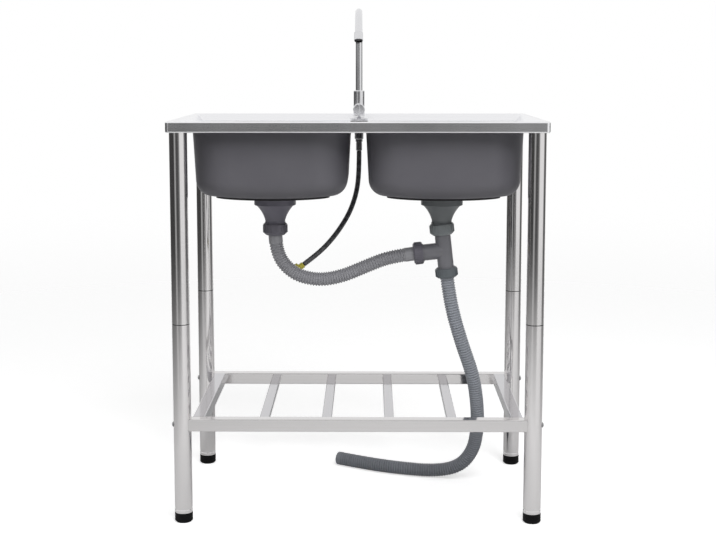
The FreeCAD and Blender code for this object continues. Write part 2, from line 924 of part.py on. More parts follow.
spout_z = tap_z + body_top
spout = new_body("spout")
path = new_sketch(spout, "YZ_Plane")
turn_angle = math.radians(d.spout_turn.value)
bend = d.spout_bend
rise_top = Vector(0, d.spout_rise.value, 0)
bend_centre = Vector(-bend.value, d.spout_rise.value, 0)
path.addGeometry(Part.LineSegment(Vector(0, 0, 0), rise_top), False)
bend_circle = Part.Circle(bend_centre, Vector(0, 0, 1), bend.value)
path.addGeometry(Part.ArcOfCircle(bend_circle, 0, turn_angle), False)
path.addConstraint(Sketcher.Constraint("Coincident", 0, 1, -1, 1))
fix_point(path, 0, 2, 0, d.spout_rise)
path.addConstraint(Sketcher.Constraint("Coincident", 0, 2, 1, 1))
fix_point(path, 1, 3, -bend, d.spout_rise)
cos_turn = Size(math.cos(turn_angle), f"cos({d.spout_turn.text} * 1 deg)")
tip_y = bend * cos_turn - bend
sin_turn = Size(math.sin(turn_angle), f"sin({d.spout_turn.text} * 1 deg)")
tip_z = d.spout_rise + bend * sin_turn
end_run = 8
end_y = tip_y - sin_turn * end_run
end_z = tip_z + cos_turn * end_run
path.addGeometry(
    Part.LineSegment(Vector(tip_y.value, tip_z.value, 0), Vector(end_y.value, end_z.value, 0)), False
)
path.addConstraint(Sketcher.Constraint("Coincident", 1, 2, 2, 1))
place = path.addConstraint(Sketcher.Constraint("DistanceX", -1, 1, 1, 2, tip_y.value))
path.setExpression(f"Constraints[{place}]", tip_y.text)
fix_point(path, 2, 2, end_y, end_z)
spine_edges = ["Edge1", "Edge2", "Edge3"]
ring = new_sketch(spout, "XY_Plane")
draw_circle(ring, d.spout_radius)
pipe = spout.newObject("PartDesign::AdditivePipe", "Neck")
pipe.Profile = ring
pipe.Spine = (path, spine_edges)
collar = socket_radius - 0.05
groove = 7.9
revolve(
    spout,
    [
        (0, 0.5),
        (0, -23),
        (collar - 1, -23),
        (collar, -22),
        (collar, -17),
        (groove, -17),
        (groove, -15.4),
        (collar, -15.4),
        (collar, -9),
        (groove, -9),
        (groove, -7.4),
        (collar, -7.4),
        (collar, -0.5),
        (d.spout_radius, 0.5),
    ],
)
bore = new_sketch(spout, "XY_Plane")
draw_circle(bore, d.spout_bore)
hollow = spout.newObject("PartDesign::SubtractivePipe", "Bore")
hollow.Profile = bore
hollow.Spine = (path, spine_edges)
bore_end = new_sketch(spout, "XY_Plane", 0.5)
draw_circle(bore_end, d.spout_bore)
pocket(spout, bore_end, 30)
keep(move_to(spout, 0, d.tap_y, spout_z))

rings = []
for height in (-16.2, -8.2):
    ring_seal = doc.addObject("Part::Torus", "spout_ring")
    ring_seal.Radius1 = 8.48
    ring_seal.Radius2 = 0.55
    rings.append(move_to(ring_seal, 0, d.tap_y, spout_z + height))
keep(group("spout_seals", rings))

aerator = new_body("aerator")
sleeve = d.spout_radius + 0.05
shell = 9.7
insert = 8.8
revolve(
    aerator,
    [
        (sleeve, 0),
        (shell - 0.8, 0),
        (shell, 0.8),
        (shell, 17.2),
        (shell - 0.8, 18),
        (insert, 18),
        (insert, 19.2),
        (insert - 0.8, 20),
        (7.2, 20),
        (7.2, 18),
        (0, 18),
        (0, 15.5),
        (6.8, 15.5),
        (6.8, 7),
        (sleeve, 7),
    ],
)
sketch = new_sketch(aerator, "XY_Plane", 19)
draw_circle(sketch, 0.9, 4.6, 0)
hole_feature = pocket(aerator, sketch, 5)
repeat_round(aerator, hole_feature, 9)
turn(aerator, Vector(1, 0, 0), d.spout_turn.value)
overlap = 7
move_to(aerator, 0, d.tap_y + end_y + sin_turn * overlap, spout_z + end_z - cos_turn * overlap)
keep(aerator)


# Wastes: steel flange with cup, gasket, funnel, screw, plug with its seal
cup_depth = d.cup_depth


def make_strainer_flange(side, sign):
    body = new_body(side + "_strainer_flange")
    cup = d.waste_hole - 2
    revolve(
        body,
        [
            (0, -cup_depth),
            (cup - 2.5, -cup_depth),
            (cup, 2.5 - cup_depth),
            (cup, 0),
            (d.seat_radius - 3, 0),
            (d.seat_radius - 3.6, 1.2),
            (cup, 1.2),
            (cup - 1.2, 0.2),
            (cup - 1.2, 3.1 - cup_depth),
            (cup - 3, 1.2 - cup_depth),
            (0, 1.2 - cup_depth),
        ],
    )
    sketch = new_sketch(body, "XY_Plane", 3 - cup_depth)
    draw_circle(sketch, 3.2, 19, 0)
    repeat_round(body, pocket(body, sketch, 8), 10)
    sketch = new_sketch(body, "XY_Plane", 3 - cup_depth)
    draw_circle(sketch, 3.3)
    pocket(body, sketch, 8)
    return keep(move_to(body, bowl_x * sign, bowl_y, seat_z))


def make_waste_gasket(side, sign):
    body = new_body(side + "_waste_gasket")
    inner = d.waste_hole - 1
    low = -d.waste_gasket
    revolve(body, [(inner, low), (inner + 9.5, low), (inner + 9.5, 0), (inner, 0)])
    return keep(move_to(body, bowl_x * sign, bowl_y, under_z))


def make_funnel(side, sign):
    """Rim, concave funnel and threaded tail, with a web that takes the clamping screw."""
    body = new_body(side + "_funnel")
    top = under_z - d.waste_gasket - nut_pivot
    rim = d.funnel_rim
    inner = d.waste_hole - 1.3
    tail_end = as_size(-9)
    bore = as_size(17)
    waist = d.tail_radius - 1.2
    revolve(
        body,
        [
            (inner, top),
            (rim + 4.5, top),
            (rim + 4.5, top - 3.5),
            (rim, top - 4.5),
            (rim, top - 14.5),
            (rim - 1.5, top - 15.5),
            (rim - 4, top - 15.5, 70),
            (waist, 14),
            (waist, 10),
            (d.tail_radius, 9),
            (d.tail_radius, tail_end),
            (bore, tail_end),
            (bore, 20),
            (6, 20),
            (6, 16),
            (3.05, 16),
            (3.05, 28),
            (6, 28),
            (6, 24),
            (bore + 2, 24),
            (inner - 8, top - 15),
            (inner, top - 13),
        ],
    )
    sketch = new_sketch(body, "XY_Plane", 26)
    draw_circle(sketch, 4, 11.5, 0)
    repeat_round(body, pocket(body, sketch, 12), 6)
    return keep(move_to(body, bowl_x * sign, bowl_y, nut_pivot))


def make_waste_screw(side, sign):
    body = new_body(side + "_waste_screw")
    length = seat_z + 1.2 - cup_depth - nut_pivot
    revolve(
        body,
        [
            (0, 14),
            (3, 14),
            (3, length),
            (5.5, length),
            (5.5, length + 1.6),
            (3.5, length + 2.8),
            (0, length + 2.8),
        ],
    )
    return move_to(body, bowl_x * sign, bowl_y, nut_pivot)


def make_strainer_plug(side, sign):
    body = new_body(side + "_strainer_plug")
    rim = d.waste_hole + 2
    stem_end = 6.8 - cup_depth
    revolve(
        body,
        [
            (0, stem_end - 3.2),
            (3, stem_end - 3.2),
            (3, stem_end),
            (5, stem_end),
            (5, 2.2),
            (rim - 9, 0.9),
            (rim - 2, 0.05),
            (rim, 0.05),
            (rim, 1),
            (rim - 1, 1.6),
            (rim - 9, 2.6),
            (7, 4.2),
            (5, 6),
            (5, 10),
            (8.5, 12.5),
            (9, 15, 3),
            (6, 17.5),
            (0, 18),
        ],
    )
    sketch = new_sketch(body, "XY_Plane", 8)
    draw_loop(sketch, rectangle(7, 1.7, 27, 0))
    slot = pocket(body, sketch, 10)
    repeat_round(body, slot, 12)
    return keep(move_to(body, bowl_x * sign, bowl_y, seat_z + 1.2))


def make_plug_seal(side, sign):
    body = new_body(side + "_plug_seal")
    stem_end = 6.8 - cup_depth
    revolve(
        body,
        [
            (3.05, stem_end - 3.25),
            (25, stem_end - 3.25),
            (27, 0.3 - cup_depth),
            (33, 0.3 - cup_depth),
            (35, stem_end - 2),
            (33, stem_end - 0.05),
            (3.05, stem_end - 0.05),
        ],
    )
    return keep(move_to(body, bowl_x * sign, bowl_y, seat_z + 1.2))


def ribbed_nut(body, low, high, radius, cavity, lip, hole, taper):
    """A moulded union nut with grip ribs, open at the top and lipped at the bottom."""
    revolve(
        body,
        [
            (hole, low),
            (radius - taper, low),
            (radius, low + taper),
            (radius, high - 0.8),
            (radius - 0.8, high),
            (cavity, high),
            (cavity, low + lip),
            (hole, low + lip),
        ],
    )
    sketch = new_sketch(body, "XY_Plane", low + taper)
    draw_loop(sketch, rectangle(1, 1.1, radius, 0))
    rib = pad(body, sketch, high - low - taper - 2.5)
    repeat_round(body, rib, 20)
    return body


nut_low = as_size(-17.7)
nut_high = as_size(6.3)
nut_lip = 3
waste_screws = []
waste_nuts = []
for side, sign in SIDES.items():
    make_strainer_flange(side, sign)
    make_waste_gasket(side, sign)
    make_funnel(side, sign)
    make_strainer_plug(side, sign)
    make_plug_seal(side, sign)
    waste_screws.append(make_waste_screw(side, sign))
    nut = new_body(side + "_waste_nut")
    ribbed_nut(nut, nut_low, nut_high, d.nut_radius, d.tail_radius + 1, nut_lip, 17.6, 5.5)
    if side == "right":
        turn(nut, Vector(0, 1, 0), -d.tee_lean.value)
    waste_nuts.append(move_to(nut, bowl_x * sign, bowl_y, nut_pivot))
keep(group("waste_screws", waste_screws))
keep(group("waste_nuts", waste_nuts))


# Tee: it leans in its slip joint, so it is built about the joint and turned as a whole
lean = FreeCAD.Rotation(Vector(0, 1, 0), -d.tee_lean.value)
joint = Vector(bowl_x.value, bowl_y.value, nut_pivot.value)


def in_tee(x, z):
    """A point of the tee's own upright plane, in the frame of the whole sink."""
    return joint + lean.multVec(Vector(x, 0, z))


def at_joint(item):
    turn(item, Vector(0, 1, 0), -d.tee_lean.value)
    return move_to(item, bowl_x, bowl_y, nut_pivot)


tee = new_body("waste_tee")
thread = d.tee_radius + 2.4
tee_bore = d.tee_radius - 2.6
tee_end = -d.tee_drop
branch_end = as_size(58.2)
collar_low = nut_low + nut_lip
revolve(
    tee,
    [
        (0, collar_low),
        (0, tee_end),
        (thread, tee_end),
        (thread, tee_end + 14),
        (d.tee_radius, tee_end + 14),
        (d.tee_radius, nut_low - 6),
        (d.tee_radius - 0.6, collar_low),
        (21, collar_low),
        (21, collar_low + 3),
        (0, collar_low + 3),
    ],
)
for radius, start, length in (
    (d.tee_radius + 0.5, as_size(0), branch_end),
    (thread, branch_end - 14, as_size(14)),
):
    sketch = new_sketch(tee, "YZ_Plane", -start)
    draw_circle(sketch, radius, 0, -d.tee_branch)
    pad(tee, sketch, length, reverse=True)
sketch = new_sketch(tee, "XY_Plane", collar_low + 3)
draw_circle(sketch, tee_bore)
pocket(tee, sketch, d.tee_drop)
sketch = new_sketch(tee, "YZ_Plane")
draw_circle(sketch, tee_bore, 0, -d.tee_branch)
pocket(tee, sketch, branch_end + 1, reverse=False)
keep(at_joint(tee))

nut_length = 20
lower_nut = new_body("tee_lower_nut")
low = tee_end - 8
ribbed_nut(lower_nut, low, low + nut_length, d.tee_nut_radius, thread + 0.4, 3.5, 16.2, 3)
at_joint(lower_nut)
side_nut = new_body("tee_side_nut")
ribbed_nut(side_nut, as_size(-8), as_size(nut_length - 8), d.tee_nut_radius, thread + 0.4, 3.5, 16.2, 3)
side_place = in_tee(-branch_end.value, -d.tee_branch.value)
side_nut.Placement = FreeCAD.Placement(side_place, FreeCAD.Rotation(Vector(0, 1, 0), 90 - d.tee_lean.value))
keep(group("tee_nuts", [lower_nut, side_nut]))


# Hoses: straight runs joined by tangent arcs
def rounded_route(points):
    """Lines and arcs through a list of points, and the smallest arc radius."""
    edges = []
    radii = []
    here = points[0]
    for before, corner, after in zip(points, points[1:], points[2:]):
        back = (before - corner).normalize()
        ahead = (after - corner).normalize()
        half_turn = (math.pi - back.getAngle(ahead)) / 2
        trim = 0.45 * min(before.distanceToPoint(corner), after.distanceToPoint(corner))
        radius = trim / math.tan(half_turn)
        start = corner + back * trim
        finish = corner + ahead * trim
        middle = (back + ahead).normalize()
        deepest = corner + middle * (radius / math.cos(half_turn) - radius)
        edges.append(Part.LineSegment(here, start).toShape())
        edges.append(Part.Arc(start, deepest, finish).toShape())
        radii.append(radius)
        here = finish
    edges.append(Part.LineSegment(here, points[-1]).toShape())
    return edges, radii


def ring_on(edges, distance, radius):
    """A circle square to the route at a distance from its start, on a steady X axis."""
    for edge in edges:
        if distance <= edge.Length or edge is edges[-1]:
            break
        distance -= edge.Length
    spot = edge.getParameterByLength(min(distance, edge.Length))
    ahead = edge.tangentAt(spot)
    steady = Vector(0, 1, 0)
    across = (steady - ahead * steady.dot(ahead)).normalize()
    circle = Part.Wire([Part.makeCircle(radius)])
    circle.Placement = FreeCAD.Placement(
        edge.valueAt(spot), FreeCAD.Rotation(across, ahead.cross(across), ahead, "ZXY")
    )
    return circle


def smooth_tube(edges, radius):
    return Part.Wire(edges).makePipeShell([ring_on(edges, 0, radius)], True, False)


def ribbed_hose(label, points, collars):
    """A corrugated hose with plain cuffs, a bore and a moulded collar where a nut holds it."""
    edges, radii = rounded_route(points)
    length = sum(edge.Length for edge in edges)
    cuff = d.hose_cuff.value
    root = d.hose_root.value
    crest = d.hose_radius.value
    count = int((length - 2 * cuff) / d.rib_pitch.value)
    pitch = (length - 2 * cuff) / count
    rings = [ring_on(edges, 0, crest), ring_on(edges, cuff, crest)]
    for number in range(count):
        start = cuff + number * pitch
        for share, radius in ((0.15, root), (0.4, root), (0.6, crest), (0.9, crest)):
            rings.append(ring_on(edges, start + share * pitch, radius))
    rings.append(ring_on(edges, length, crest))
    solid = Part.makeLoft(rings, True, True)
    for low, high, radius in collars:
        ends = [ring_on(edges, low, radius), ring_on(edges, high, radius)]
        solid = solid.fuse(Part.makeLoft(ends, True, True))
    solid = solid.cut(smooth_tube(edges, d.hose_bore.value))
    item = doc.addObject("Part::Feature", label)
    item.Label = label
    item.Shape = solid
    print(
        f"{label}: {length:.0f} mm long, {count} ribs, "
        f"tightest bend {min(radii):.0f} mm, valid {solid.isValid()}"
    )
    return keep(item)


link_start = Vector(-bowl_x.value, bowl_y.value, nut_pivot.value - 9.3)
link_end = in_tee(-branch_end.value - 0.2, -d.tee_branch.value)
link_last = in_tee(-branch_end.value - 56, -d.tee_branch.value)
link_points = [link_start, link_start - Vector(0, 0, 48)]
for share, drop in ((0.12, 45), (0.3, 59), (0.472, 50), (0.64, 28)):
    across = link_start.x + share * (link_end.x - link_start.x)
    link_points.append(Vector(across, bowl_y.value, link_end.z - drop))
link_points += [link_last, link_end]
ribbed_hose("link_hose", link_points, [(0, 5.2, 21)])

waste_start = in_tee(0, tee_end.value - 0.2)
floor_line = d.hose_radius.value + 0.6
waste_points = [waste_start, in_tee(0, tee_end.value - 60)]
for x, y, z in (
    (222, -11, 336),
    (251, 2, 256),
    (262, 20, 182),
    (264, 43, 124),
    (257, 60, 72),
    (228, 72, 31),
    (175, 86, floor_line),
    (95, 106, floor_line),
    (18, 140, floor_line),
    (-48, 181, floor_line),
):
    waste_points.append(Vector(x, y, z))
ribbed_hose("waste_hose", waste_points, [(0, 4.2, 19)])

# Supply hose: a plain tube from the tap's tail to the union nut at its free end
supply_top = tap_z - d.shank_length - 26
supply_points = [Vector(0, d.tap_y.value, supply_top.value)]
for x, y, z in (
    (0, 152, 692),
    (-5, 139, 647),
    (-19, 112, 606),
    (-41, 84, 571),
    (-66, 59, 541),
    (-93, 41, 517),
    (-121, 32, 497),
):
    supply_points.append(Vector(x, y, z))
supply_edges, supply_radii = rounded_route(supply_points)
supply = smooth_tube(supply_edges, d.supply_radius.value).cut(smooth_tube(supply_edges, d.supply_bore.value))
supply_length = sum(edge.Length for edge in supply_edges)
section = math.pi * (d.supply_radius.value ** 2 - d.supply_bore.value ** 2)
print(f"supply_hose: {supply_length:.0f} mm long, tightest bend {min(supply_radii):.0f} mm")
print(f"supply_hose: volume {supply.Volume:.0f}, section times length {section * supply_length:.0f}")
supply_hose = doc.addObject("Part::Feature", "supply_hose")
supply_hose.Label = "supply_hose"
supply_hose.Shape = supply
keep(supply_hose)

tail = new_body("supply_tail")
revolve(
    tail,
    [
        (3.5, 0),
        (6.2, 0),
        (6.8, 0.6),
        (6.8, 18),
        (6, 18.6),
        (6, 20),
        (8, 20),
        (8, 26),
        (5, 26),
        (5, 38),
        (3.5, 38),
    ],
)
keep(move_to(tail, 0, d.tap_y, supply_top))

supply_end = supply_points[-1]
supply_way = (supply_points[-1] - supply_points[-2]).normalize()
end_place = FreeCAD.Placement(supply_end, FreeCAD.Rotation(Vector(0, 0, 1), supply_way))
ferrule = new_body("supply_ferrule")
revolve(
    ferrule,
    [(3.5, 0), (6.2, 0), (6.8, 0.6), (6.8, 9), (5.4, 9.6), (5.4, 13), (8.8, 13), (8.8, 16), (3.5, 16)],
)
ferrule.Placement = end_place
keep(ferrule)

union = new_body("supply_nut")
revolve(
    union,
    [
        (5.6, 10),
        (11, 10),
        (11.8, 10.8),
        (11.8, 14),
        (10.5, 14.6),
        (10.5, 27),
        (9.3, 27),
        (9.3, 16.05),
        (8.9, 16.05),
        (8.9, 12.9),
        (5.6, 12.9),
    ],
)
sketch = new_sketch(union, "XY_Plane", 14.6)
hexagon_angles = [math.radians(60 * number) for number in range(6)]
hexagon = [(13.2 * math.cos(angle), 13.2 * math.sin(angle)) for angle in hexagon_angles]
draw_loop(sketch, hexagon)
draw_circle(sketch, 9.3)
pad(union, sketch, 9)
union.Placement = end_place
keep(union)


# Recompute, check and export
os.makedirs("parts", exist_ok=True)
doc.recompute()
problems = []
for item in doc.Objects:
    if any(word in item.State for word in ("Invalid", "Error")):
        problems.append(f"{item.Label}: {item.State}")
for item in nodes:
    shape = item.Shape
    if shape.isNull() or not shape.isValid() or not shape.Solids:
        problems.append(f"{item.Label}: bad shape")
if problems:
    raise RuntimeError("; ".join(problems))
for item in nodes:
    item.Shape.exportStep(f"parts/{item.Label}.step")
print(f"{len(nodes)} pieces written")
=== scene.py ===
# %% [markdown]
# # A free-standing camping sink
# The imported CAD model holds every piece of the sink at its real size: the pressed deck, the two bowls, the
# legs, the shelf, the tap and the waste line. In this lesson each piece gets the finish of its real
# material. The hoses are made again along smooth curves, because a hose hangs in one easy line that
# straight runs and arcs only come near.

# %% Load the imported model
import math

import bpy
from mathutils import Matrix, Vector


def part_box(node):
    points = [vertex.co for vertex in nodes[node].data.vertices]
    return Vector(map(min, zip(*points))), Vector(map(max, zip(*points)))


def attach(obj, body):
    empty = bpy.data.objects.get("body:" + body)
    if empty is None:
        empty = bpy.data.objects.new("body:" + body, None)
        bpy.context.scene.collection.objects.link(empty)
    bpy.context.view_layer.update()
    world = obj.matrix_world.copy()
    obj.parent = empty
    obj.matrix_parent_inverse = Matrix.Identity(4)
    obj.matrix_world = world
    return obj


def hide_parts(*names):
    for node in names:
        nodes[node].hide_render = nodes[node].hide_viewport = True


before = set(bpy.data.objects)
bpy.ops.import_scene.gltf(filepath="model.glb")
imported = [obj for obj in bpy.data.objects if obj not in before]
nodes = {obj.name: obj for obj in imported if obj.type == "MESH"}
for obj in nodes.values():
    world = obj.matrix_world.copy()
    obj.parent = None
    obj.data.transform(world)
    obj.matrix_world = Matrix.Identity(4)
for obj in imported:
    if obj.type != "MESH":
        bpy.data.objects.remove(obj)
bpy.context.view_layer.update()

# %% [markdown]
# ## The camera
# The sink is seen from a good two and a half metres in front and a little above its rim, with its uprights
# nearly parallel. A long lens, a slight downward tilt and a small shift of the picture give that view. More
# shift would straighten the legs fully, but it would push the sink out of every other view.

# %% Camera
# Metres and degrees, with millimetres for the sensor and the lens. The shift is a share of the picture.
CAMERA_PLACE = (0.0241, -2.7477, 0.9319)
CAMERA_TILT = 6.735
CAMERA_TURN = 0.525
SENSOR_WIDTH = 36
LENS_LENGTH = 64.66
PICTURE_SHIFT = -0.075

camera_data = bpy.data.cameras.new("camera")
camera_data.sensor_width = SENSOR_WIDTH
camera_data.lens = LENS_LENGTH
camera_data.shift_y = PICTURE_SHIFT
camera = bpy.data.objects.new("camera", camera_data)
camera.location = CAMERA_PLACE
camera.rotation_euler = (math.radians(90 - CAMERA_TILT), 0, math.radians(CAMERA_TURN))
bpy.context.scene.collection.objects.link(camera)
bpy.context.scene.camera = camera
bpy.context.scene.view_settings.view_transform = "Standard"
print("camera at", tuple(camera.location), "lens", camera_data.lens)

# %% [markdown]
# ## Small helpers
# Colours are written as the eye reads them, in sRGB, but Blender mixes light in linear values, so one
# function turns the first into the second. Another adds a node to any tree, of a material or of geometry,
# with its settings and its links in one call. A third starts a material with an empty tree.

# %% Helpers for colours, nodes and materials
MM = 0.001
WHITE = "#FFFFFF"


def colour(code):
    """An sRGB hex code as linear red, green, blue and alpha."""
    shades = [int(code[place:place + 2], 16) / 255 for place in (1, 3, 5)]
    linear = [
        shade / 12.92 if shade <= 0.04045 else ((shade + 0.055) / 1.055) ** 2.4
        for shade in shades
    ]
    return (*linear, 1)


def add(tree, kind, inputs=None, **settings):
    """Add a node, set its properties, then fill or link its inputs by name or number."""
    made = tree.nodes.new(kind)
    for name, value in settings.items():
        setattr(made, name, value)
    for name, value in (inputs or {}).items():
        socket = made.inputs[name]
        if isinstance(value, bpy.types.NodeSocket):
            tree.links.new(value, socket)
        else:
            socket.default_value = value
    return made


def empty_material(name):
    """A new material whose node tree is still bare."""
    made = bpy.data.materials.new(name)
    made.use_nodes = True
    made.node_tree.nodes.clear()
    return made


print("steel grey in linear light:", colour("#C8C8CA"))

# %% [markdown]
# ## Studio
# Polished steel has hardly a colour of its own: it shows the room. Lamps alone would leave it black between
# their mirror images, so a whole room is drawn on the world. It is white, with wide soft panels and darker
# gaps between them, which draw the dark lines down the round legs. The panels are a ramp over the compass
# direction of a ray, and they fade to a white ceiling.

# %% Room
# Compass angle in degrees, 0 towards the camera and positive to the right, with the light level there.
PANELS = (
    (-180, 1.0),
    (-150, 1.0),
    (-140, 0.06),
    (-50, 0.05),
    (-42, 0.4),
    (-30, 0.4),
    (-22, 0.08),
    (2, 0.08),
    (12, 0.2),
    (18, 0.28),
    (28, 0.88),
    (78, 0.9),
    (92, 0.14),
    (128, 0.1),
    (142, 1.0),
    (180, 1.0),
)
# The ceiling takes over between two heights, each the sine of a ray's slope.
CEILING_FROM = -0.01
CEILING_FULL = 0.16
CEILING_LEVEL = 0.94

world = bpy.data.worlds.new("studio")
bpy.context.scene.world = world
world.use_nodes = True
tree = world.node_tree
tree.nodes.clear()
direction = add(tree, "ShaderNodeTexCoord").outputs["Generated"]
ray = add(tree, "ShaderNodeSeparateXYZ", {0: direction})
ahead = add(tree, "ShaderNodeMath", {0: ray.outputs["Y"], 1: -1.0}, operation="MULTIPLY")
compass = add(
    tree, "ShaderNodeMath", {0: ray.outputs["X"], 1: ahead.outputs[0]}, operation="ARCTAN2"
)
turn = add(
    tree,
    "ShaderNodeMapRange",
    {"Value": compass.outputs[0], "From Min": -math.pi, "From Max": math.pi},
)
panels = add(tree, "ShaderNodeValToRGB", {"Fac": turn.outputs[0]})
stops = panels.color_ramp.elements
for number, (angle, level) in enumerate(PANELS):
    place = angle / 360 + 0.5
    # A new ramp already has its first two stops.
    stop = stops[number] if number < 2 else stops.new(place)
    stop.position = place
    stop.color = (level, level, level, 1)
ceiling = add(
    tree,
    "ShaderNodeMapRange",
    {"Value": ray.outputs["Z"], "From Min": CEILING_FROM, "From Max": CEILING_FULL},
)
overhead = (CEILING_LEVEL, CEILING_LEVEL, CEILING_LEVEL, 1)
room = add(
    tree,
    "ShaderNodeMix",
    {"Factor": ceiling.outputs[0], 6: panels.outputs["Color"], 7: overhead},
    data_type="RGBA",
)
print("stops in the room's ramp:", len(stops))

# %% [markdown]
# Three kinds of ray look at this room. A mirror ray sees the panels and the ceiling. The camera sees plain
# white, like the backdrop of a studio picture, and so does a ray through something clear. Every other ray
# brings one low, even level of light, and the lamps do the rest.

# %% What each ray sees
SKY_LIGHT = 0.16

path = add(tree, "ShaderNodeLightPath")
seen = add(
    tree,
    "ShaderNodeMath",
    {0: path.outputs["Is Camera Ray"], 1: path.outputs["Is Transmission Ray"]},
    operation="MAXIMUM",
)
soft = add(tree, "ShaderNodeBackground", {"Color": colour(WHITE), "Strength": SKY_LIGHT})
mirrored = add(tree, "ShaderNodeBackground", {"Color": room.outputs[2], "Strength": 1.0})
plain = add(tree, "ShaderNodeBackground", {"Color": colour(WHITE), "Strength": 1.0})
unseen = add(
    tree,
    "ShaderNodeMixShader",
    {0: path.outputs["Is Glossy Ray"], 1: soft.outputs[0], 2: mirrored.outputs[0]},
)
final = add(
    tree, "ShaderNodeMixShader", {0: seen.outputs[0], 1: unseen.outputs[0], 2: plain.outputs[0]}
)
add(tree, "ShaderNodeOutputWorld", {"Surface": final.outputs[0]})
print("nodes in the world:", len(tree.nodes))

# %% [markdown]
# The floor is a sheet of matt white paper that keeps the sink's shadow. A plain disc would end in a
# horizon, so this one fades out around the sink. Low down the legs mirror the white sheet, and higher up
# they mirror the room behind it.

# %% Floor
FLOOR_RADIUS = 6.5
FLOOR_SIDES = 96
FLOOR_FADE = (0.9, 6.4)
FLOOR_FADE_POWER = 3.0
# The share of the light that white paper gives back.
FLOOR_WHITENESS = 0.9
# What the camera sees of the paper is lifted by this much, so that it meets the white backdrop.
FLOOR_LIFT = 0.58

bpy.ops.mesh.primitive_circle_add(vertices=FLOOR_SIDES, radius=FLOOR_RADIUS, fill_type="NGON")
floor = bpy.context.object
floor.name = "floor"
# Matt paper has no gleam: all it gives the eye is the soft shadow on it.
floor_paper = empty_material("matt_floor_paper")
tree = floor_paper.node_tree
place = add(tree, "ShaderNodeTexCoord").outputs["Object"]
reach = add(tree, "ShaderNodeVectorMath", {0: place}, operation="LENGTH")
fade = add(
    tree,
    "ShaderNodeMapRange",
    {
        "Value": reach.outputs["Value"],
        "From Min": FLOOR_FADE[0],
        "From Max": FLOOR_FADE[1],
        "To Min": 1.0,
        "To Max": 0.0,
    },
)
cover = add(tree, "ShaderNodeMath", {0: fade.outputs[0], 1: FLOOR_FADE_POWER}, operation="POWER")
by_camera = add(tree, "ShaderNodeLightPath").outputs["Is Camera Ray"]
lift = add(tree, "ShaderNodeMath", {0: by_camera, 1: FLOOR_LIFT}, operation="MULTIPLY")
shader = add(
    tree,
    "ShaderNodeBsdfPrincipled",
    {
        "Base Color": (FLOOR_WHITENESS, FLOOR_WHITENESS, FLOOR_WHITENESS, 1),
        "Roughness": 1.0,
        "Specular IOR Level": 0.0,
        "Alpha": cover.outputs[0],
        "Emission Color": colour(WHITE),
        "Emission Strength": lift.outputs[0],
    },
)
add(tree, "ShaderNodeOutputMaterial", {"Surface": shader.outputs[0]})
floor.data.materials.append(floor_paper)
print("floor radius", FLOOR_RADIUS)

# %% [markdown]
# Two wide lamps stand in front of the sink, the stronger one to the right, and a third hangs overhead. They
# are large squares, so that shadows stay soft, and mirrors don't show them, because the room has its own
# panels.

# %% Lamps
# Where each lamp is, what it points at, its side in metres and its power in watts.
LAMPS = {
    "key_panel": ((0.9, -2.0, 2.6), (0, 0, 0.55), 1.8, 64),
    "fill_panel": ((-2.2, -2.2, 2.4), (0, 0, 0.5), 2.0, 20),
    "top_panel": ((0, 0.1, 3.2), (0, 0, 0.8), 2.4, 18),
}
for name, (place, target, side, power) in LAMPS.items():
    lamp_data = bpy.data.lights.new(name, "AREA")
    lamp_data.shape = "SQUARE"
    lamp_data.size = side
    lamp_data.energy = power
    lamp = bpy.data.objects.new(name, lamp_data)
    lamp.location = place
    lamp.rotation_euler = (Vector(target) - Vector(place)).to_track_quat("-Z", "Y").to_euler()
    lamp.visible_glossy = False
    bpy.context.scene.collection.objects.link(lamp)
print("lamps:", ", ".join(LAMPS))

# %% [markdown]
# ## Steel
# The deck is satin stainless steel: the sheet was brushed along its length, which leaves fine lines that
# spread a reflection sideways. The legs and rails are the same alloy as tube, polished until they mirror.
# An anisotropic shader could smear the reflections, but stretched noise along the working direction, which
# varies the roughness and the height a little, also shows single lines up close. Real brush lines are a few
# tenths of a millimetre apart, too fine to show at this distance, so they are drawn one to three
# millimetres apart. Each leg is two tubes, and where they meet a thin dark seam runs round it.

# %% Worked metal
SMUDGE_SIZE = 60 * MM
BUMP_REACH = 0.2 * MM
# Two noises added up lie mostly between these values.
TWO_NOISES = (0.6, 1.4)
SEAM_HALF = 0.8 * MM
SEAM_SHADE = "#4A4A4C"


def with_seam(tree, place, tone, seam):
    """The tone with a dark ring where the height is that of the seam."""
    height = add(tree, "ShaderNodeSeparateXYZ", {0: place}).outputs["Z"]
    above = add(tree, "ShaderNodeMath", {0: height, 1: seam}, operation="SUBTRACT")
    away = add(tree, "ShaderNodeMath", {0: above.outputs[0]}, operation="ABSOLUTE")
    inside = add(
        tree, "ShaderNodeMath", {0: away.outputs[0], 1: SEAM_HALF}, operation="LESS_THAN"
    )
    ringed = add(
        tree,
        "ShaderNodeMix",
        {"Factor": inside.outputs[0], 6: tone, 7: colour(SEAM_SHADE)},
        data_type="RGBA",
    )
    return ringed.outputs[2]


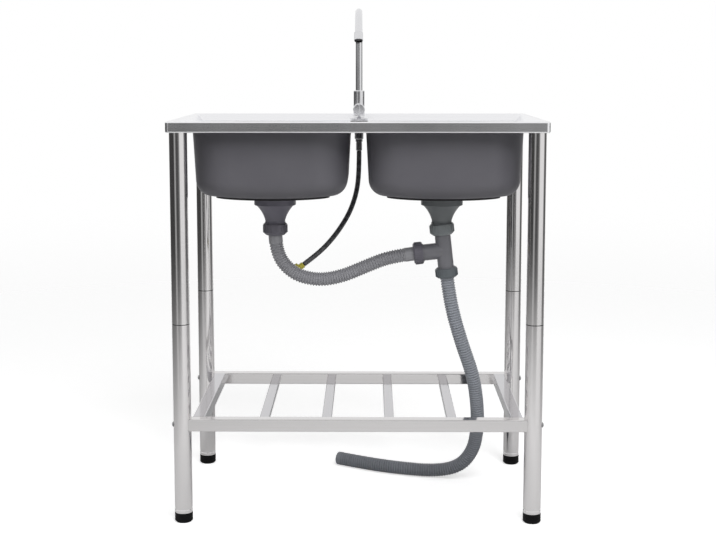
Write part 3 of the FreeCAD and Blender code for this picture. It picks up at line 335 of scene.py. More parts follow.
def worked_metal(name, shade, along, line_gap, line_length, rough, depth, seam=None):
    """Metal with lines along an axis, in millimetres, between two levels of roughness.

    A tube in two lengths has a dark seam at the height where they meet.
    """
    made = empty_material(name)
    tree = made.node_tree
    place = add(tree, "ShaderNodeTexCoord").outputs["Object"]
    stretch = [1 / (line_gap * MM)] * 3
    stretch["xyz".index(along)] = 1 / (line_length * MM)
    lines = add(tree, "ShaderNodeMapping", {"Vector": place, "Scale": stretch})
    grain = add(
        tree, "ShaderNodeTexNoise", {"Vector": lines.outputs[0], "Scale": 1.0, "Detail": 3.0}
    ).outputs["Fac"]
    smudge = add(
        tree, "ShaderNodeTexNoise", {"Vector": place, "Scale": 1 / SMUDGE_SIZE, "Detail": 2.0}
    ).outputs["Fac"]
    blend = add(tree, "ShaderNodeMath", {0: grain, 1: smudge}, operation="ADD")
    polish = add(
        tree,
        "ShaderNodeMapRange",
        {
            "Value": blend.outputs[0],
            "From Min": TWO_NOISES[0],
            "From Max": TWO_NOISES[1],
            "To Min": rough[0],
            "To Max": rough[1],
        },
    )
    tone = add(
        tree,
        "ShaderNodeMix",
        {"Factor": grain, 6: colour(shade[0]), 7: colour(shade[1])},
        data_type="RGBA",
    ).outputs[2]
    if seam:
        tone = with_seam(tree, place, tone, seam)
    bump = add(
        tree, "ShaderNodeBump", {"Height": grain, "Strength": depth, "Distance": BUMP_REACH}
    )
    shader = add(
        tree,
        "ShaderNodeBsdfPrincipled",
        {
            "Base Color": tone,
            "Metallic": 1.0,
            "Roughness": polish.outputs[0],
            "Normal": bump.outputs[0],
        },
    )
    add(tree, "ShaderNodeOutputMaterial", {"Surface": shader.outputs[0]})
    return made


leg_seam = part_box("front_left_upper_leg")[0].z
print("the leg tubes meet at a height of", round(leg_seam, 4))

# %% [markdown]
# The recipe now gives each metal on the sink. What differs is the tone, how long and how deep the lines of
# the work are, and above all the roughness: it decides whether a mirror image is sharp, soft or gone.

# %% Stainless steel finishes
SATIN_SHADE = ("#F0F0F2", "#F8F8FA")
LEG_SHADE = ("#DFDDDD", "#E7E5E5")
RAIL_SHADE = ("#D3D1D1", "#DBD9D9")
SLAT_SHADE = ("#BFBEC1", "#C7C6C9")

# Brushed sheet: each mirror image smears into a soft, even sheen.
satin_steel = worked_metal(
    "satin_stainless_steel",
    SATIN_SHADE,
    along="x",
    line_gap=1.2,
    line_length=220,
    rough=(0.19, 0.23),
    depth=0.015,
)
# Polished round tube: the room shows as clear upright bands.
leg_steel = worked_metal(
    "polished_stainless_leg_tube",
    LEG_SHADE,
    along="z",
    line_gap=2.0,
    line_length=120,
    rough=(0.07, 0.13),
    depth=0.012,
    seam=leg_seam,
)
# Polished square tube: flat faces mirror the hose and the slats sharply.
rail_steel = worked_metal(
    "polished_stainless_rail_tube",
    RAIL_SHADE,
    along="x",
    line_gap=2.0,
    line_length=120,
    rough=(0.05, 0.1),
    depth=0.012,
)
# Flat slats and side rails with a lesser polish: darker, with softer mirror images.
slat_steel = worked_metal(
    "polished_stainless_slat_tube",
    SLAT_SHADE,
    along="y",
    line_gap=2.0,
    line_length=120,
    rough=(0.06, 0.14),
    depth=0.015,
)
# Pressed and buffed in short strokes: uneven glints.
drain_steel = worked_metal(
    "buffed_stainless_drain",
    SATIN_SHADE,
    along="x",
    line_gap=1.5,
    line_length=20,
    rough=(0.18, 0.3),
    depth=0.05,
)
print("stainless finishes:", satin_steel.name, leg_steel.name, rail_steel.name, slat_steel.name)

# %% [markdown]
# Screws, bolts, the tap's washer and the tail of its hose are plated with zinc. The tap is brass with a
# coat of chrome, and its inner pieces are bare brass, as they came off the lathe. One recipe still does for
# all three, because a plated or turned surface also has lines and a level of polish.

# %% Zinc, chrome and brass
# Zinc plate: a dull grey bloom that blurs every image.
screw_steel = worked_metal(
    "zinc_plated_steel",
    ("#A9AAAC", "#C2C2C2"),
    along="z",
    line_gap=1.2,
    line_length=6,
    rough=(0.25, 0.4),
    depth=0.05,
)
# Chrome plate: bright, nearly white, with a faint haze over its mirror images.
chrome = worked_metal(
    "chrome_plated_brass",
    ("#E0E0E2", "#E8E8EA"),
    along="z",
    line_gap=3.0,
    line_length=40,
    rough=(0.13, 0.19),
    depth=0.01,
)
# Machined brass: warm yellow with fine tool marks.
brass = worked_metal(
    "machined_brass",
    ("#B08D45", "#C4A45C"),
    along="z",
    line_gap=1.0,
    line_length=20,
    rough=(0.25, 0.4),
    depth=0.05,
)
print("other metals:", screw_steel.name, chrome.name, brass.name)

# %% [markdown]
# ## Bowls
# Each bowl is drawn from one sheet. Inside it is bare satin steel. Outside it carries a sprayed coat that
# deadens the noise of running water, dark grey with a hint of violet and a fine orange-peel skin. Two
# meshes could carry the two finishes, but a bowl is one piece, so one material holds both: a face that
# looks away from the middle of the bowl is outside.

# %% Inside and outside of a bowl
BOWL_MIDDLE_HEIGHT = 0.735


def bowl_middle(side):
    """The point in a bowl that its inner faces look at."""
    low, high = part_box(side + "_bowl")
    return ((low.x + high.x) / 2, (low.y + high.y) / 2, BOWL_MIDDLE_HEIGHT)


def outside_of(tree, place, middle):
    """1 on a face that looks away from the middle, and 0 on one that looks towards it."""
    from_middle = add(tree, "ShaderNodeVectorMath", {0: place, 1: middle}, operation="SUBTRACT")
    normal = add(tree, "ShaderNodeNewGeometry").outputs["True Normal"]
    facing = add(
        tree,
        "ShaderNodeVectorMath",
        {0: from_middle.outputs[0], 1: normal},
        operation="DOT_PRODUCT",
    )
    away = add(
        tree, "ShaderNodeMath", {0: facing.outputs["Value"], 1: 0.0}, operation="GREATER_THAN"
    )
    return away.outputs[0]


print("middle of the left bowl:", bowl_middle("left"))

# %% [markdown]
# The coat is a thick paint that dries with the skin of an orange, and the bare sheet keeps its brush lines.
# Each is a noise of its own size. The pimples of the skin and the brush lines are drawn larger than the
# real ones, so that they show.

# %% Bowl material
# Sprayed coat: its skin breaks every mirror image into a soft gleam along the bends.
COAT_SHADE = ("#59585E", "#656469")
COAT_CLOUD = 90 * MM
COAT_PIMPLE = 2.5 * MM
COAT_ROUGH = 0.52
# Brushed bare sheet: fine lines and a wide, dim sheen.
SHEET_SHADE = ("#DEDEE0", "#ECECEE")
SHEET_LINE = (90 * MM, 1.25 * MM, 1.25 * MM)
SHEET_ROUGH = 0.36
BOWL_BUMP = 0.2
BOWL_BUMP_REACH = 0.25 * MM


def bowl_finish(side):
    """Sprayed coat outside and bare steel inside, told apart by the way a face looks."""
    made = empty_material(side + "_sprayed_coat_and_satin_steel")
    tree = made.node_tree
    place = add(tree, "ShaderNodeTexCoord").outputs["Object"]
    outside = outside_of(tree, place, bowl_middle(side))
    cloud = add(
        tree, "ShaderNodeTexNoise", {"Vector": place, "Scale": 1 / COAT_CLOUD, "Detail": 2.0}
    )
    coat = add(
        tree,
        "ShaderNodeMix",
        {"Factor": cloud.outputs["Fac"], 6: colour(COAT_SHADE[0]), 7: colour(COAT_SHADE[1])},
        data_type="RGBA",
    )
    stretch = [1 / size for size in SHEET_LINE]
    brush = add(tree, "ShaderNodeMapping", {"Vector": place, "Scale": stretch})
    lines = add(
        tree, "ShaderNodeTexNoise", {"Vector": brush.outputs[0], "Scale": 1.0, "Detail": 3.0}
    )
    sheet = add(
        tree,
        "ShaderNodeMix",
        {"Factor": lines.outputs["Fac"], 6: colour(SHEET_SHADE[0]), 7: colour(SHEET_SHADE[1])},
        data_type="RGBA",
    )
    tone = add(
        tree,
        "ShaderNodeMix",
        {"Factor": outside, 6: sheet.outputs[2], 7: coat.outputs[2]},
        data_type="RGBA",
    )
    bare = add(tree, "ShaderNodeMath", {0: 1.0, 1: outside}, operation="SUBTRACT")
    polish = add(
        tree,
        "ShaderNodeMapRange",
        {"Value": outside, "To Min": SHEET_ROUGH, "To Max": COAT_ROUGH},
    )
    pimples = add(
        tree, "ShaderNodeTexNoise", {"Vector": place, "Scale": 1 / COAT_PIMPLE, "Detail": 3.0}
    )
    height = add(
        tree,
        "ShaderNodeMix",
        {"Factor": outside, 2: lines.outputs["Fac"], 3: pimples.outputs["Fac"]},
        data_type="FLOAT",
    )
    bump = add(
        tree,
        "ShaderNodeBump",
        {"Height": height.outputs[0], "Strength": BOWL_BUMP, "Distance": BOWL_BUMP_REACH},
    )
    shader = add(
        tree,
        "ShaderNodeBsdfPrincipled",
        {
            "Base Color": tone.outputs[2],
            "Metallic": bare.outputs[0],
            "Roughness": polish.outputs[0],
            "Normal": bump.outputs[0],
        },
    )
    add(tree, "ShaderNodeOutputMaterial", {"Surface": shader.outputs[0]})
    return made


bowl_materials = {side: bowl_finish(side) for side in ("left", "right")}
print("bowl finishes:", [made.name for made in bowl_materials.values()])

# %% [markdown]
# ## Plastics and rubber
# The waste fittings are moulded polypropylene, the feet and seals are black rubber, and the thin hose ends
# in a yellow moulded union nut. Moulded parts are nearly even in colour, with slight flow clouds and the
# fine grit that a spark-eroded mould leaves. Real grit is about a tenth of a millimetre, too fine to show,
# so it is drawn about a millimetre wide. Nuts of two batches share a node, and a place along X parts them.

# %% Moulded plastics and rubber
FLOW_CLOUD = 25 * MM
# One noise lies mostly between these values.
ONE_NOISE = (0.3, 0.7)
GRIT_SPREAD = 0.06
PLASTIC_IOR = 1.49


def with_second_batch(tree, place, cloud, tone, shade, start):
    """The tone with another shade right of a place along X."""
    across = add(tree, "ShaderNodeSeparateXYZ", {0: place}).outputs["X"]
    right = add(tree, "ShaderNodeMath", {0: across, 1: start}, operation="GREATER_THAN")
    second = add(
        tree,
        "ShaderNodeMix",
        {"Factor": cloud, 6: colour(shade[0]), 7: colour(shade[1])},
        data_type="RGBA",
    )
    both = add(
        tree,
        "ShaderNodeMix",
        {"Factor": right.outputs[0], 6: tone, 7: second.outputs[2]},
        data_type="RGBA",
    )
    return both.outputs[2]


def moulded(name, shade, rough, grit=1.2, depth=0.15, right_shade=None, right_from=0.0, shine=0.5):
    """A moulded surface: slow clouds in the colour and a fine grit, in millimetres, in the height."""
    made = empty_material(name)
    tree = made.node_tree
    place = add(tree, "ShaderNodeTexCoord").outputs["Object"]
    cloud = add(
        tree, "ShaderNodeTexNoise", {"Vector": place, "Scale": 1 / FLOW_CLOUD, "Detail": 3.0}
    ).outputs["Fac"]
    texture = add(
        tree, "ShaderNodeTexNoise", {"Vector": place, "Scale": 1 / (grit * MM), "Detail": 2.0}
    ).outputs["Fac"]
    tone = add(
        tree,
        "ShaderNodeMix",
        {"Factor": cloud, 6: colour(shade[0]), 7: colour(shade[1])},
        data_type="RGBA",
    ).outputs[2]
    if right_shade:
        tone = with_second_batch(tree, place, cloud, tone, right_shade, right_from)
    polish = add(
        tree,
        "ShaderNodeMapRange",
        {
            "Value": texture,
            "From Min": ONE_NOISE[0],
            "From Max": ONE_NOISE[1],
            "To Min": rough - GRIT_SPREAD,
            "To Max": rough + GRIT_SPREAD,
        },
    )
    bump = add(
        tree, "ShaderNodeBump", {"Height": texture, "Strength": depth, "Distance": BUMP_REACH}
    )
    shader = add(
        tree,
        "ShaderNodeBsdfPrincipled",
        {
            "Base Color": tone,
            "Roughness": polish.outputs[0],
            "Normal": bump.outputs[0],
            "IOR": PLASTIC_IOR,
            "Specular IOR Level": shine,
        },
    )
    add(tree, "ShaderNodeOutputMaterial", {"Surface": shader.outputs[0]})
    return made


print("flow clouds in millimetres:", FLOW_CLOUD / MM)

# %% [markdown]
# The fittings come from several batches of the same plastic, some with a hint of violet and some with a
# hint of blue, so each has a shade of its own.

# %% Waste fittings
VIOLET_GREY = ("#66646D", "#706E77")
FUNNEL_VIOLET = ("#6C6A75", "#76747F")
PALE_VIOLET = ("#75757A", "#7F7F84")
STONE_GREY = ("#6D7173", "#777B7D")
PALE_STONE = ("#83888A", "#8D9294")
DARK_STONE = ("#5F6569", "#696F73")
TEE_NUTS_PART_AT = 0.15

# Moulded polypropylene: a broad, waxy gleam and hardly any change of colour.
left_plastic = moulded("moulded_violet_grey_polypropylene", FUNNEL_VIOLET, rough=0.42)
right_plastic = moulded("moulded_stone_grey_polypropylene", STONE_GREY, rough=0.4)
tee_plastic = moulded("moulded_pale_violet_polypropylene", PALE_VIOLET, rough=0.4)
# Nuts of two batches: one is a little paler than the other.
waste_nut_plastic = moulded(
    "moulded_polypropylene_waste_nuts", VIOLET_GREY, rough=0.42, right_shade=PALE_STONE
)
tee_nut_plastic = moulded(
    "moulded_polypropylene_tee_nuts",
    VIOLET_GREY,
    rough=0.42,
    right_shade=DARK_STONE,
    right_from=TEE_NUTS_PART_AT,
)
print("waste fittings:", left_plastic.name, right_plastic.name, tee_plastic.name)

# %% [markdown]
# The last moulded pieces are small. Rubber is darker, duller and rougher than plastic, because its filler
# is soot, and it keeps the grain of its mould.

# %% Union nut, inner plastics and rubber
# Dyed polypropylene: one clear spot of colour.
yellow_plastic = moulded("moulded_yellow_polypropylene", ("#D0C54C", "#DED662"), rough=0.4)
# Polyethylene: black with a greasy gleam.
black_plastic = moulded(
    "moulded_black_polyethylene", ("#17171A", "#222225"), rough=0.5, grit=1.0, depth=0.2
)
# Rubber: a deep black that swallows the light.
black_rubber = moulded(
    "moulded_black_rubber", ("#09090A", "#111113"), rough=0.62, grit=0.8, depth=0.35, shine=0.15
)
# Rolled sheet of damping rubber: a dull near-black without edges or glints.
pad_rubber = moulded(
    "rolled_damping_rubber", ("#1D1C20", "#2A292D"), rough=0.7, grit=1.5, depth=0.4
)
print("small mouldings:", yellow_plastic.name, black_plastic.name, black_rubber.name, pad_rubber.name)

# %% [markdown]
# ## Aerator
# The aerator is a chromed shell with a black moulded insert, which stands a few millimetres proud of the
# shell and breaks the jet into bubbles. They come as one piece, so one material holds both: a point further
# along the nozzle than the shell's edge is insert.

# %% Aerator material
# Where the spout ends in the CAD model, and how many degrees its nozzle leans forward there.
SPOUT_END = (0, 0.01976, 0.99932)
SPOUT_END_TILT = 20
SHELL_LENGTH = 17.8 * MM
SHELL_SHADE = ("#DCDCDE", "#E4E4E6")
SHELL_HAZE = 8 * MM
SHELL_ROUGH = 0.2
INSERT_SHADE = "#1B1B1D"
INSERT_ROUGH = 0.45

# Chrome that hazes over a little, and a black insert that reads as a hole.
aerator_finish = empty_material("chrome_shell_and_black_acetal")
tree = aerator_finish.node_tree
place = add(tree, "ShaderNodeTexCoord").outputs["Object"]
lean = math.radians(SPOUT_END_TILT)
nozzle_way = (0, -math.sin(lean), -math.cos(lean))
from_end = add(tree, "ShaderNodeVectorMath", {0: place, 1: SPOUT_END}, operation="SUBTRACT")
along = add(
    tree, "ShaderNodeVectorMath", {0: from_end.outputs[0], 1: nozzle_way}, operation="DOT_PRODUCT"
)
insert = add(
    tree, "ShaderNodeMath", {0: along.outputs["Value"], 1: SHELL_LENGTH}, operation="GREATER_THAN"
)
shell = add(tree, "ShaderNodeMath", {0: 1.0, 1: insert.outputs[0]}, operation="SUBTRACT")
haze = add(tree, "ShaderNodeTexNoise", {"Vector": place, "Scale": 1 / SHELL_HAZE, "Detail": 2.0})
chromed = add(
    tree,
    "ShaderNodeMix",
    {"Factor": haze.outputs["Fac"], 6: colour(SHELL_SHADE[0]), 7: colour(SHELL_SHADE[1])},
    data_type="RGBA",
)
tone = add(
    tree,
    "ShaderNodeMix",
    {"Factor": insert.outputs[0], 6: chromed.outputs[2], 7: colour(INSERT_SHADE)},
    data_type="RGBA",
)
polish = add(
    tree,
    "ShaderNodeMapRange",
    {"Value": insert.outputs[0], "To Min": SHELL_ROUGH, "To Max": INSERT_ROUGH},
)
shader = add(
    tree,
    "ShaderNodeBsdfPrincipled",
    {"Base Color": tone.outputs[2], "Metallic": shell.outputs[0], "Roughness": polish.outputs[0]},
)
add(tree, "ShaderNodeOutputMaterial", {"Surface": shader.outputs[0]})
print("aerator finish:", aerator_finish.name)

# %% [markdown]
# ## Every CAD piece gets its finish
# The pieces keep their CAD shape, so only their material slots change. A table of finish and pieces does
# that in one loop, and it shows at the end what is left for the hoses.

# %% Dress the CAD pieces
SIDE_RAILS = ("shelf_left_rail", "shelf_right_rail")
SLATS = tuple(name for name in nodes if name.startswith("shelf_slat"))
RUBBER_ENDINGS = ("_foot", "_gasket", "_seal", "_seals")
FINISHES = {
    satin_steel: ("sink_deck", "leg_sockets"),
    leg_steel: tuple(name for name in nodes if name.endswith("_leg")),
    rail_steel: ("shelf_front_rail", "shelf_rear_rail"),
    slat_steel: SLATS + SIDE_RAILS,
    drain_steel: tuple(name for name in nodes if "strainer" in name),
    screw_steel: ("socket_screws", "shelf_bolts", "waste_screws", "tap_washer", "supply_tail"),
    chrome: ("tap_body", "tap_knob", "spout"),
    aerator_finish: ("aerator",),
    brass: ("tap_lock_nut", "valve_cartridge", "valve_spindle"),
    bowl_materials["left"]: ("left_bowl",),
    bowl_materials["right"]: ("right_bowl",),
    left_plastic: ("left_funnel",),
    right_plastic: ("right_funnel",),
    tee_plastic: ("waste_tee",),
    waste_nut_plastic: ("waste_nuts",),
    tee_nut_plastic: ("tee_nuts",),
    yellow_plastic: ("supply_nut", "supply_ferrule"),
    black_plastic: ("leg_couplers", "rail_plugs"),
    black_rubber: tuple(name for name in nodes if name.endswith(RUBBER_ENDINGS)),
    pad_rubber: ("left_sound_pad", "right_sound_pad"),
}
dressed = set()
for finish, names in FINISHES.items():
    for name in names:
        nodes[name].data.materials.clear()
        nodes[name].data.materials.append(finish)
        dressed.add(name)
print("dressed:", len(dressed), "left for the hoses:", sorted(set(nodes) - dressed))

# %% [markdown]
# ## Hoses
# Three hoses hang under the sink. The link hose runs from the left drain to the tee, the waste hose from
# the tee down to the floor, and the thin supply hose from the tap to its union nut. Each has a route, a
# short list of points that pull a smooth curve into shape. The curve touches the first and the last point
# and cuts inside the others, as a stiff hose does.

# %% Hose routes
LINK_ROUTE = [
    (-0.178, -0.017, 0.5782),
    (-0.178, -0.017, 0.5302),
    (-0.1415, -0.017, 0.4847),
    (-0.0869, -0.017, 0.4707),
    (-0.0346, -0.017, 0.4797),
    (0.0164, -0.017, 0.5017),
    (0.0704, -0.017, 0.5234),
    (0.1258, -0.017, 0.5297),
]
WASTE_ROUTE = [
    (0.1895, -0.017, 0.4863),
    (0.1963, -0.017, 0.4269),
    (0.222, -0.011, 0.336),
    (0.251, 0.002, 0.256),
    (0.262, 0.02, 0.182),
    (0.264, 0.043, 0.124),
    (0.257, 0.06, 0.072),
    (0.228, 0.072, 0.031),
    (0.175, 0.086, 0.0156),
    (0.095, 0.106, 0.0156),
    (0.018, 0.14, 0.0156),
    (-0.048, 0.181, 0.0156),
]
SUPPLY_ROUTE = [
    (0, 0.152, 0.739),
    (0, 0.152, 0.692),
    (-0.005, 0.139, 0.647),
    (-0.019, 0.112, 0.606),
    (-0.041, 0.084, 0.571),
    (-0.066, 0.059, 0.541),
    (-0.093, 0.041, 0.517),
    (-0.121, 0.032, 0.497),
]
print("route points:", len(LINK_ROUTE), len(WASTE_ROUTE), len(SUPPLY_ROUTE))

# %% [markdown]
# A NURBS spline of order 3 gives that smooth line. Its points as Blender draws them are kept, because they
# say where the hose lies and how long it is.

# %% Hose lines
STEPS_BETWEEN_POINTS = 24


def hanging_line(name, route):
    """A smooth open curve that the route's points pull into shape."""
    line = bpy.data.curves.new(name, "CURVE")
    line.dimensions = "3D"
    line.resolution_u = STEPS_BETWEEN_POINTS
    spline = line.splines.new("NURBS")
    spline.points.add(len(route) - 1)
    for point, place in zip(spline.points, route):
        point.co = (*place, 1)
    spline.order_u = 3
    spline.use_endpoint_u = True
    made = bpy.data.objects.new(name, line)
    bpy.context.scene.collection.objects.link(made)
    return made


def mesh_of(item):
    """What an object looks like after its modifiers, as a plain mesh."""
    drawn = item.evaluated_get(bpy.context.evaluated_depsgraph_get())
    return bpy.data.meshes.new_from_object(drawn)


def points_along(line):
    """The points of the curve as Blender draws it."""
    mesh = mesh_of(line)
    found = [tuple(vertex.co) for vertex in mesh.vertices]
    bpy.data.meshes.remove(mesh)
    return found


link_line = hanging_line("link_hose_line", LINK_ROUTE)
waste_line = hanging_line("waste_hose_line", WASTE_ROUTE)
supply_line = hanging_line("supply_hose_line", SUPPLY_ROUTE)
paths = {line.name: points_along(line) for line in (link_line, waste_line, supply_line)}
for name, points in paths.items():
    total = sum((Vector(b) - Vector(a)).length for a, b in zip(points, points[1:]))
    print(name, "points", len(points), "length", round(total, 4))

# %% [markdown]
# The ribbed hoses are soft PVC, blown into a corrugated mould, and the thin one is extruded rubber. Their
# material reads how high each point stands between groove and crest, an attribute that the node tree
# leaves on the mesh. Grooves are painted darker than crests, as painted shade with a little dust, and the
# crests vary as if rubbed. The length on and near the floor gets painted shade, darker towards the floor.
# The grit is drawn coarser than it is, so that it shows.

# %% Hose material
# Painted shade near the floor: its tone, the heights over which it fades out, and its strongest share.
FLOOR_SHADE_TONE = "#3C3E42"
FLOOR_SHADE_UP_TO = (0.03, 0.26)
MOST_FLOOR_SHADE = 0.48
WEAR_CLOUD = 30 * MM
LEAST_WEAR = 0.75
HOSE_GRIT = 1.5 * MM
SMOOTHER = 0.05
ROUGHER = 0.07
HOSE_BUMP = 0.1
HOSE_IOR = 1.52


def painted_shade_below(tree, place, tone):
    """The tone with painted shade that gets deeper towards the floor."""
    height = add(tree, "ShaderNodeSeparateXYZ", {0: place}).outputs["Z"]
    amount = add(
        tree,
        "ShaderNodeMapRange",
        {
            "Value": height,
            "From Min": FLOOR_SHADE_UP_TO[0],
            "From Max": FLOOR_SHADE_UP_TO[1],
            "To Min": MOST_FLOOR_SHADE,
            "To Max": 0.0,
        },
    )
    shaded = add(
        tree,
        "ShaderNodeMix",
        {"Factor": amount.outputs[0], 6: tone, 7: colour(FLOOR_SHADE_TONE)},
        data_type="RGBA",
    )
    return shaded.outputs[2]


def hose_finish(name, groove, crest, rough):
    """A flexible hose whose grooves are darker than its crests."""
    made = empty_material(name)
    tree = made.node_tree
    place = add(tree, "ShaderNodeTexCoord").outputs["Object"]
    height = add(tree, "ShaderNodeAttribute", attribute_name="rib_height").outputs["Fac"]
    cloud = add(
        tree, "ShaderNodeTexNoise", {"Vector": place, "Scale": 1 / WEAR_CLOUD, "Detail": 3.0}
    )
    wear = add(
        tree,
        "ShaderNodeMapRange",
        {
            "Value": cloud.outputs["Fac"],
            "From Min": ONE_NOISE[0],
            "From Max": ONE_NOISE[1],
            "To Min": LEAST_WEAR,
            "To Max": 1.0,
        },
    )
    # Painted shade with a little dust: grooves darker than crests, and the crests vary as if rubbed.
    groove_shade_and_wear = add(tree, "ShaderNodeMath", {0: height, 1: wear.outputs[0]}, operation="MULTIPLY")
    ribbed_tone = add(
        tree,
        "ShaderNodeMix",
        {"Factor": groove_shade_and_wear.outputs[0], 6: colour(groove), 7: colour(crest)},
        data_type="RGBA",
    )
    grit = add(
        tree, "ShaderNodeTexNoise", {"Vector": place, "Scale": 1 / HOSE_GRIT, "Detail": 2.0}
    ).outputs["Fac"]
    polish = add(
        tree,
        "ShaderNodeMapRange",
        {
            "Value": grit,
            "From Min": ONE_NOISE[0],
            "From Max": ONE_NOISE[1],
            "To Min": rough - SMOOTHER,
            "To Max": rough + ROUGHER,
        },
    )
    bump = add(
        tree, "ShaderNodeBump", {"Height": grit, "Strength": HOSE_BUMP, "Distance": BUMP_REACH}
    )
    shader = add(
        tree,
        "ShaderNodeBsdfPrincipled",
        {
            # Painted shade darkens the length near the floor.
            "Base Color": painted_shade_below(tree, place, ribbed_tone.outputs[2]),
            "Roughness": polish.outputs[0],
            "Normal": bump.outputs[0],
            "IOR": HOSE_IOR,
        },
    )
    add(tree, "ShaderNodeOutputMaterial", {"Surface": shader.outputs[0]})
    return made


# Blown PVC: a satin grey whose ribs draw a row of fine light and dark lines.
link_plastic = hose_finish("corrugated_grey_pvc", "#8F8F94", "#9B9B9F", 0.36)
# The same plastic in a cooler, duller slate grey.
waste_plastic = hose_finish("corrugated_slate_pvc", "#898D94", "#9FA3AB", 0.42)
# Extruded rubber: near black, with one long gleam along the tube.
supply_rubber = hose_finish("extruded_black_rubber", "#48484B", "#646467", 0.36)
print("hose finishes:", link_plastic.name, waste_plastic.name, supply_rubber.name)

# %% [markdown]
# A ribbed hose is a wave along a tube, with a smooth cuff at each end and, inside the nut that holds it, a
# moulded collar. Rings could be copied along the line, but a node tree does it in one skin: it walks along
# the curve and sets the radius at each step from the distance covered, so that the ribs keep their spacing
# in the bends. First comes the wave, a cosine cut off above and below, so that crests and grooves are flat.

# %% Rib wave
# The share of the cosine that is kept, in height.
WAVE_KEPT = 0.7


def rib_height(tree, given, along, nearest_end):
    """How high the wave stands, from 0 in a groove to 1 on a crest, and 1 on the cuffs."""
    from_cuff = add(tree, "ShaderNodeMath", {0: along, 1: given["Cuff length"]}, operation="SUBTRACT")
    ribs_passed = add(
        tree, "ShaderNodeMath", {0: from_cuff.outputs[0], 1: given["Rib pitch"]}, operation="DIVIDE"
    )
    angle = add(
        tree, "ShaderNodeMath", {0: ribs_passed.outputs[0], 1: math.tau}, operation="MULTIPLY"
    )
    swing = add(tree, "ShaderNodeMath", {0: angle.outputs[0]}, operation="COSINE")
    wave = add(
        tree,
        "ShaderNodeMapRange",
        {"Value": swing.outputs[0], "From Min": -WAVE_KEPT, "From Max": WAVE_KEPT},
        clamp=True,
    )
    past_cuff = add(
        tree, "ShaderNodeMath", {0: nearest_end, 1: given["Cuff length"]}, operation="GREATER_THAN"
    )
    height = add(
        tree,
        "ShaderNodeMix",
        {"Factor": past_cuff.outputs[0], 2: 1.0, 3: wave.outputs[0]},
        data_type="FLOAT",
    )
    return height.outputs[0]


print("share of the wave that is kept:", WAVE_KEPT)

# %% [markdown]
# The wave's height then becomes a radius, between groove and crest. The collar widens the start, and the
# very first and last ring shrink to the bore, which closes the wall at both ends.

# %% Outer radius
END_LIP = 0.1 * MM


def outer_radius(tree, given, height, along, nearest_end):
    """The radius of the hose's skin at a point of its line."""
    ribbed = add(
        tree,
        "ShaderNodeMix",
        {"Factor": height, 2: given["Groove radius"], 3: given["Crest radius"]},
        data_type="FLOAT",
        clamp_factor=True,
    )
    in_collar = add(
        tree, "ShaderNodeMath", {0: along, 1: given["Collar length"]}, operation="LESS_THAN"
    )
    collared = add(
        tree,
        "ShaderNodeMix",
        {"Factor": in_collar.outputs[0], 2: ribbed.outputs[0], 3: given["Collar radius"]},
        data_type="FLOAT",
    )
    at_end = add(tree, "ShaderNodeMath", {0: nearest_end, 1: END_LIP}, operation="LESS_THAN")
    lipped = add(
        tree,
        "ShaderNodeMix",
        {"Factor": at_end.outputs[0], 2: collared.outputs[0], 3: given["Bore radius"]},
        data_type="FLOAT",
    )
    return lipped.outputs[0]


print("lip at the hose ends in millimetres:", END_LIP / MM)

# %% [markdown]
# The sizes of each hose are the inputs of the tree. The supply hose is a plain tube, so its crests are no
# higher than its grooves and it has no collar.

# %% Hose sizes
LINK_SIZES = {
    "Crest radius": 15 * MM,
    "Groove radius": 13.2 * MM,
    "Bore radius": 11.4 * MM,
    "Rib pitch": 5.6 * MM,
    "Cuff length": 26 * MM,
    "Collar radius": 21 * MM,
    "Collar length": 5.2 * MM,
}
WASTE_SIZES = LINK_SIZES | {
    "Cuff length": 11 * MM,
    "Collar radius": 19 * MM,
    "Collar length": 4.2 * MM,
}
SUPPLY_SIZES = {
    "Crest radius": 5.5 * MM,
    "Groove radius": 5.5 * MM,
    "Bore radius": 3.5 * MM,
    "Rib pitch": 16 * MM,
    "Cuff length": 20 * MM,
    "Collar radius": 5.5 * MM,
    "Collar length": 0.0,
}
print("inputs of the hose tree:", ", ".join(LINK_SIZES))

# %% [markdown]
# The tree draws the skin with eight rings to a rib, and the plain bore with fewer, turned inside out so
# that its faces look into the hose. The two meet in one ring at each end, where their points are merged.

# %% Hose node tree
RINGS_PER_RIB = 8
BORE_RINGS = 90
RING_POINTS = 32
END_GAP = 0.2 * MM


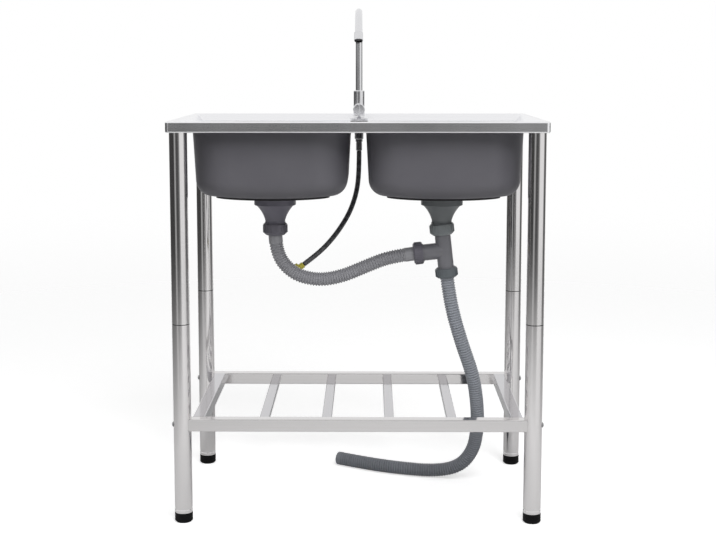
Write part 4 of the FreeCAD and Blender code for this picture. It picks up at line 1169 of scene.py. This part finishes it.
def hose_tree(name, material):
    """Tube along a curve: a skin of ribs between two smooth cuffs, and a plain bore inside."""
    tree = bpy.data.node_groups.new(name, "GeometryNodeTree")
    tree.interface.new_socket("Line", in_out="INPUT", socket_type="NodeSocketGeometry")
    for label in LINK_SIZES:
        tree.interface.new_socket(label, in_out="INPUT", socket_type="NodeSocketFloat")
    tree.interface.new_socket("Hose", in_out="OUTPUT", socket_type="NodeSocketGeometry")
    given = add(tree, "NodeGroupInput").outputs
    along = add(tree, "GeometryNodeSplineParameter").outputs["Length"]
    whole = add(tree, "GeometryNodeSplineLength").outputs["Length"]
    to_end = add(tree, "ShaderNodeMath", {0: whole, 1: along}, operation="SUBTRACT").outputs[0]
    nearest_end = add(tree, "ShaderNodeMath", {0: along, 1: to_end}, operation="MINIMUM").outputs[0]
    height = rib_height(tree, given, along, nearest_end)
    radius = outer_radius(tree, given, height, along, nearest_end)
    step = add(tree, "ShaderNodeMath", {0: given["Rib pitch"], 1: RINGS_PER_RIB}, operation="DIVIDE")
    fine = add(
        tree,
        "GeometryNodeResampleCurve",
        {"Curve": given["Line"], "Length": step.outputs[0]},
        mode="LENGTH",
    )
    marked = add(
        tree,
        "GeometryNodeStoreNamedAttribute",
        {"Geometry": fine.outputs[0], "Name": "rib_height", "Value": height},
        data_type="FLOAT",
        domain="POINT",
    )
    ring = add(tree, "GeometryNodeCurvePrimitiveCircle", {"Resolution": RING_POINTS, "Radius": 1.0})
    skin = add(
        tree,
        "GeometryNodeCurveToMesh",
        {"Curve": marked.outputs[0], "Profile Curve": ring.outputs[0], "Scale": radius},
    )
    coarse = add(
        tree,
        "GeometryNodeResampleCurve",
        {"Curve": given["Line"], "Count": BORE_RINGS},
        mode="COUNT",
    )
    lining = add(
        tree,
        "GeometryNodeCurveToMesh",
        {
            "Curve": coarse.outputs[0],
            "Profile Curve": ring.outputs[0],
            "Scale": given["Bore radius"],
        },
    )
    bore = add(tree, "GeometryNodeFlipFaces", {"Mesh": lining.outputs[0]})
    both = add(tree, "GeometryNodeJoinGeometry", {"Geometry": skin.outputs[0]})
    tree.links.new(bore.outputs[0], both.inputs[0])
    closed = add(
        tree, "GeometryNodeMergeByDistance", {"Geometry": both.outputs[0], "Distance": END_GAP}
    )
    smooth = add(tree, "GeometryNodeSetShadeSmooth", {"Geometry": closed.outputs[0]})
    real = add(tree, "GeometryNodeRealizeInstances", {"Geometry": smooth.outputs[0]})
    painted = add(
        tree, "GeometryNodeSetMaterial", {"Geometry": real.outputs[0], "Material": material}
    )
    add(tree, "NodeGroupOutput", {0: painted.outputs[0]})
    return tree


print("rings to a rib:", RINGS_PER_RIB, "points to a ring:", RING_POINTS)

# %% [markdown]
# Each line now gets the tree as a modifier, with its own sizes. The result is kept as a plain mesh, so that
# the piece needs no modifier any more, and the lines are then deleted.


# %% The three hoses
def make_hose(name, line, material, sizes):
    """Run the node tree on a line and keep its result as a plain mesh."""
    tree = hose_tree(name + "_tree", material)
    line.data.materials.append(material)
    modifier = line.modifiers.new("hose", "NODES")
    modifier.node_group = tree
    for item in tree.interface.items_tree:
        if item.name in sizes:
            modifier[item.identifier] = sizes[item.name]
    mesh = mesh_of(line)
    line.modifiers.remove(modifier)
    mesh.name = name
    made = bpy.data.objects.new(name, mesh)
    bpy.context.scene.collection.objects.link(made)
    print(name, "faces", len(mesh.polygons), "materials", [item.name for item in mesh.materials])
    return made


link_hose = make_hose("link_hose_ribbed", link_line, link_plastic, LINK_SIZES)
waste_hose = make_hose("waste_hose_ribbed", waste_line, waste_plastic, WASTE_SIZES)
supply_hose = make_hose("supply_hose_tube", supply_line, supply_rubber, SUPPLY_SIZES)
for line in (link_line, waste_line, supply_line):
    bpy.data.objects.remove(line)

# %% [markdown]
# Each hose rides on the sink and stands for its CAD solid, which is hidden. Where it leaves the sink and
# how long it is are printed. The supply hose carries a ferrule and a union nut.


def declare(piece, node, path, length):
    """Put a hose in the place of its CAD solid and say what it measures, in metres."""
    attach(piece, "sink")
    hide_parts(node)
    print(piece.name, "leaves at", path[0], "and is", length, "long")


declare(
    link_hose,
    node="link_hose",
    path=paths["link_hose_line"],
    length=0.381,
)
declare(
    waste_hose,
    node="waste_hose",
    path=paths["waste_hose_line"],
    length=0.784,
)
declare(
    supply_hose,
    node="supply_hose",
    path=paths["supply_hose_line"],
    length=0.316,
)
